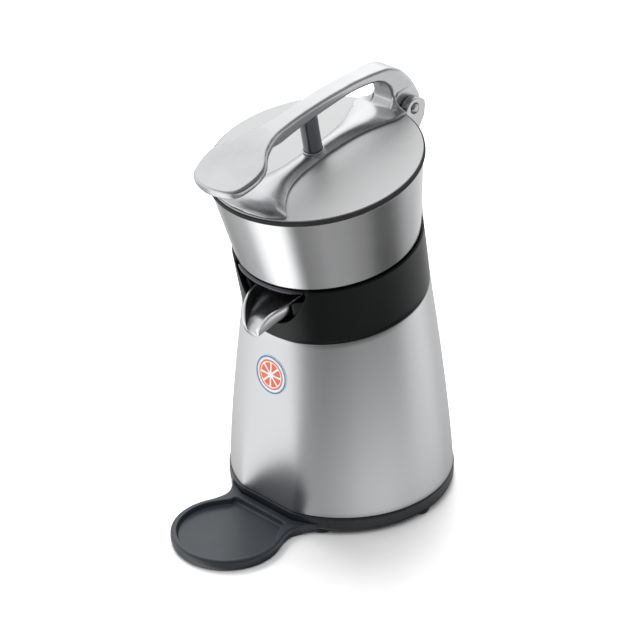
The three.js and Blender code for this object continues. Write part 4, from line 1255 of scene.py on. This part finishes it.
def join_at_rim(tray, well):
    """Opens both skins at the level of the rim and fills the rim between them."""
    level = TRAY_RIM * MM
    body = bmesh.new()
    for part in (tray, well):
        shape = bmesh.new()
        shape.from_mesh(part.data)
        flats = [face for face in shape.faces if len(face.verts) > 4]
        caps = [face for face in flats if abs(face.calc_center_median().z - level) < 1e-6]
        bmesh.ops.delete(shape, geom=caps, context="FACES_ONLY")
        shape.to_mesh(part.data)
        shape.free()
        body.from_mesh(part.data)
    bpy.data.objects.remove(well)
    rim = [edge for edge in body.edges if edge.is_boundary]
    bmesh.ops.triangle_fill(body, edges=rim, use_beauty=True)
    bmesh.ops.recalc_face_normals(body, faces=body.faces)
    body.to_mesh(tray.data)
    body.free()
    tray.data.shade_smooth()


# -------------------- inner parts keep their CAD shape

INNER = (
    (ALUMINIUM_DARK, ["motor_deck", "upper_shield", "lower_shield"]),
    (SCREW_STEEL, ["upper_bearing", "lower_bearing"]),
    (SCREW_STEEL, [f"deck_screw_{i}" for i in (1, 2, 3)]),
    (SCREW_STEEL, [f"column_screw_{i}" for i in (1, 2)]),
    (SCREW_STEEL, [f"foot_screw_{i}" for i in (1, 2, 3, 4)]),
    (LAMINATION, ["stator", "rotor"]),
    (STEEL_DARKENED_AS_SHADE, ["motor_shaft", "drive_coupling"]),
    (WHITE_NYLON, ["cooling_fan", "run_capacitor", "terminal_block"]),
    (RUBBER, ["shaft_seal"]),
)


def dress_inner_parts():
    for material, names in INNER:
        for name in names:
            mesh = frame["nodes"][name].data
            mesh.materials.clear()
            mesh.materials.append(material)


# -------------------- studio

CAMERA_AZIMUTH = math.radians(42.77)
CAMERA_ELEVATION = math.radians(29.64)
CAMERA_DISTANCE = 2.0
CAMERA_LENS = 130.4
AIM_HEIGHT = 0.150
AIM_LEFT = 0.0194
AIM_UP = 0.0056
LIGHTS_AIM_HEIGHT = 0.2


def make_camera():
    sine, cosine = math.sin(CAMERA_AZIMUTH), math.cos(CAMERA_AZIMUTH)
    level, rise = math.cos(CAMERA_ELEVATION), math.sin(CAMERA_ELEVATION)
    back = Vector((sine * level, -cosine * level, rise))
    right = Vector((cosine, sine, 0))
    centre = Vector((0, HEAD_ORIGIN.y, AIM_HEIGHT))
    aim = centre - right * AIM_LEFT + back.cross(right) * AIM_UP
    data = bpy.data.cameras.new("camera")
    data.lens = CAMERA_LENS
    data.sensor_width = 36
    camera = bpy.data.objects.new("camera", data)
    camera.location = centre + back * CAMERA_DISTANCE
    camera.rotation_euler = (camera.location - aim).to_track_quat("Z", "Y").to_euler()
    bpy.context.scene.collection.objects.link(camera)
    bpy.context.scene.camera = camera


def make_floor():
    """A plain pale table; the polished steel mirrors the dim room in its place."""
    size = 6.0
    corners = [(-size, -size, 0), (size, -size, 0), (size, size, 0), (-size, size, 0)]
    floor = new_object("floor", corners, [(0, 1, 2, 3)], Matrix.Identity(4))
    nodes = new_material("pale_floor")
    nodes.colour(nodes.noise(60.0), (0.3, (0.87,) * 3), (0.7, (0.89,) * 3))
    nodes.set(Roughness=0.9, Specular_IOR_Level=0.0)
    floor.data.materials.append(nodes.owner)
    floor.visible_glossy = False


def towards(azimuth, elevation):
    """The direction at an azimuth from the front towards +X, and an elevation, in degrees."""
    turn, rise = math.radians(azimuth), math.radians(elevation)
    return Vector((math.sin(turn) * math.cos(rise), -math.cos(turn) * math.cos(rise), math.sin(rise)))


def area_light(name, azimuth, elevation, distance, size, power, mirrored=False):
    """A soft box that looks at the machine; only a mirrored one shows in the steel."""
    direction = towards(azimuth, elevation)
    data = bpy.data.lights.new(name, "AREA")
    data.shape = "RECTANGLE"
    data.size, data.size_y = size
    data.energy = power
    light = bpy.data.objects.new(name, data)
    light.location = Vector((0, HEAD_ORIGIN.y, LIGHTS_AIM_HEIGHT)) + direction * distance
    light.rotation_euler = direction.to_track_quat("Z", "Y").to_euler()
    light.visible_glossy = mirrored
    bpy.context.scene.collection.objects.link(light)


# The studio's walls as seen from the machine: (elevation, (azimuth, brightness)...), in degrees.
ROOM_BRIGHTEST = 1.6
ROOM = (
    (-40, ((-180, 0.02), (-141, 0.15), (-70, 0.55), (-52, 1.25), (-40, 1.6), (-17, 1.6), (-6, 1.2), (4, 0.5),
           (14, 0.22), (34, 0.3), (60, 0.38), (83, 0.36), (105, 0.28), (129, 0.1), (160, 0.04), (180, 0.02))),
    (-26, ((-180, 0.75), (-120, 0.9), (-60, 1.15), (-43, 1.2), (-25, 1.1), (-12, 0.85), (0, 0.7), (22, 0.75),
           (44, 1.0), (66, 1.35), (89, 1.4), (115, 1.15), (129, 1.1), (150, 1.0), (180, 0.75))),
    (-16, ((-180, 0.8), (-120, 0.9), (-60, 1.4), (-43, 1.6), (-25, 1.45), (-12, 0.95), (0, 0.36),
           (11, 0.14), (22, 0.06), (66, 0.04), (89, 0.06), (102, 0.14), (115, 0.34), (129, 0.85),
           (150, 1.25), (180, 0.8))),
    (6, ((-180, 1.1), (-100, 1.0), (-40, 0.9), (0, 0.3), (45, 0.08), (90, 0.08), (130, 0.35),
         (155, 0.8), (180, 1.1))),
    (52, ((-180, 0.7), (-137, 1.35), (-100, 1.35), (-60, 0.9), (-20, 0.5), (20, 0.3), (100, 0.25),
          (145, 0.3), (165, 0.35), (180, 0.7))),
    (74, ((-180, 0.16), (180, 0.16))),
)


def make_world():
    """A studio with a bright wall to the left, a bright one behind and a dark one to the right."""
    world = bpy.data.worlds.new("studio")
    bpy.context.scene.world = world
    nodes = Nodes(world)
    coordinates = nodes.add("ShaderNodeTexCoord")
    split = nodes.add("ShaderNodeSeparateXYZ")
    nodes.link(coordinates.outputs["Generated"], split.inputs[0])
    ahead = nodes.compute("MULTIPLY", split.outputs["Y"], -1.0)
    turn = nodes.compute("ARCTAN2", split.outputs["X"], ahead)
    around = nodes.compute("ADD", nodes.compute("MULTIPLY", turn, 0.5 / math.pi), 0.5)

    def wall(stops):
        tones = [((azimuth + 180) / 360, (bright / ROOM_BRIGHTEST,) * 3) for azimuth, bright in stops]
        return nodes.ramp(around, *tones, interpolation="EASE")

    colour = wall(ROOM[0][1])
    for (low, _), (high, stops) in zip(ROOM, ROOM[1:]):
        rise = nodes.add(
            "ShaderNodeMapRange", interpolation_type="SMOOTHSTEP",
            From_Min=math.sin(math.radians(low)), From_Max=math.sin(math.radians(high)),
        )
        nodes.link(split.outputs["Z"], rise.inputs["Value"])
        blend = nodes.add("ShaderNodeMix", data_type="RGBA")
        nodes.link(rise.outputs["Result"], blend.inputs["Factor"])
        nodes.link(colour, blend.inputs[6])
        nodes.link(wall(stops), blend.inputs[7])
        colour = blend.outputs[2]
    background = nodes.tree.nodes["Background"]
    nodes.link(colour, background.inputs["Color"])
    background.inputs["Strength"].default_value = ROOM_BRIGHTEST


# -------------------- make everything

make_camera()
make_floor()
make_world()
area_light("key_light", -115, 68, 2.2, (1.5, 1.5), 76)
area_light("fill_light", 60, 62, 2.2, (1.8, 1.8), 29)
area_light("lid_card", -138, 34, 0.8, (0.45, 0.45), 0.26, mirrored=True)
bpy.context.scene.view_settings.view_transform = "Standard"

make_shell()
make_badge()
make_base()
make_feet()
make_rear_panel()
make_collar()
make_bowl()
make_collector()
make_strainer()
make_spout()
make_lid()
make_lever()
make_post()
make_screws()
make_column()
make_pin()
make_reamer()
make_pressing_cup()
make_tray()
dress_inner_parts()
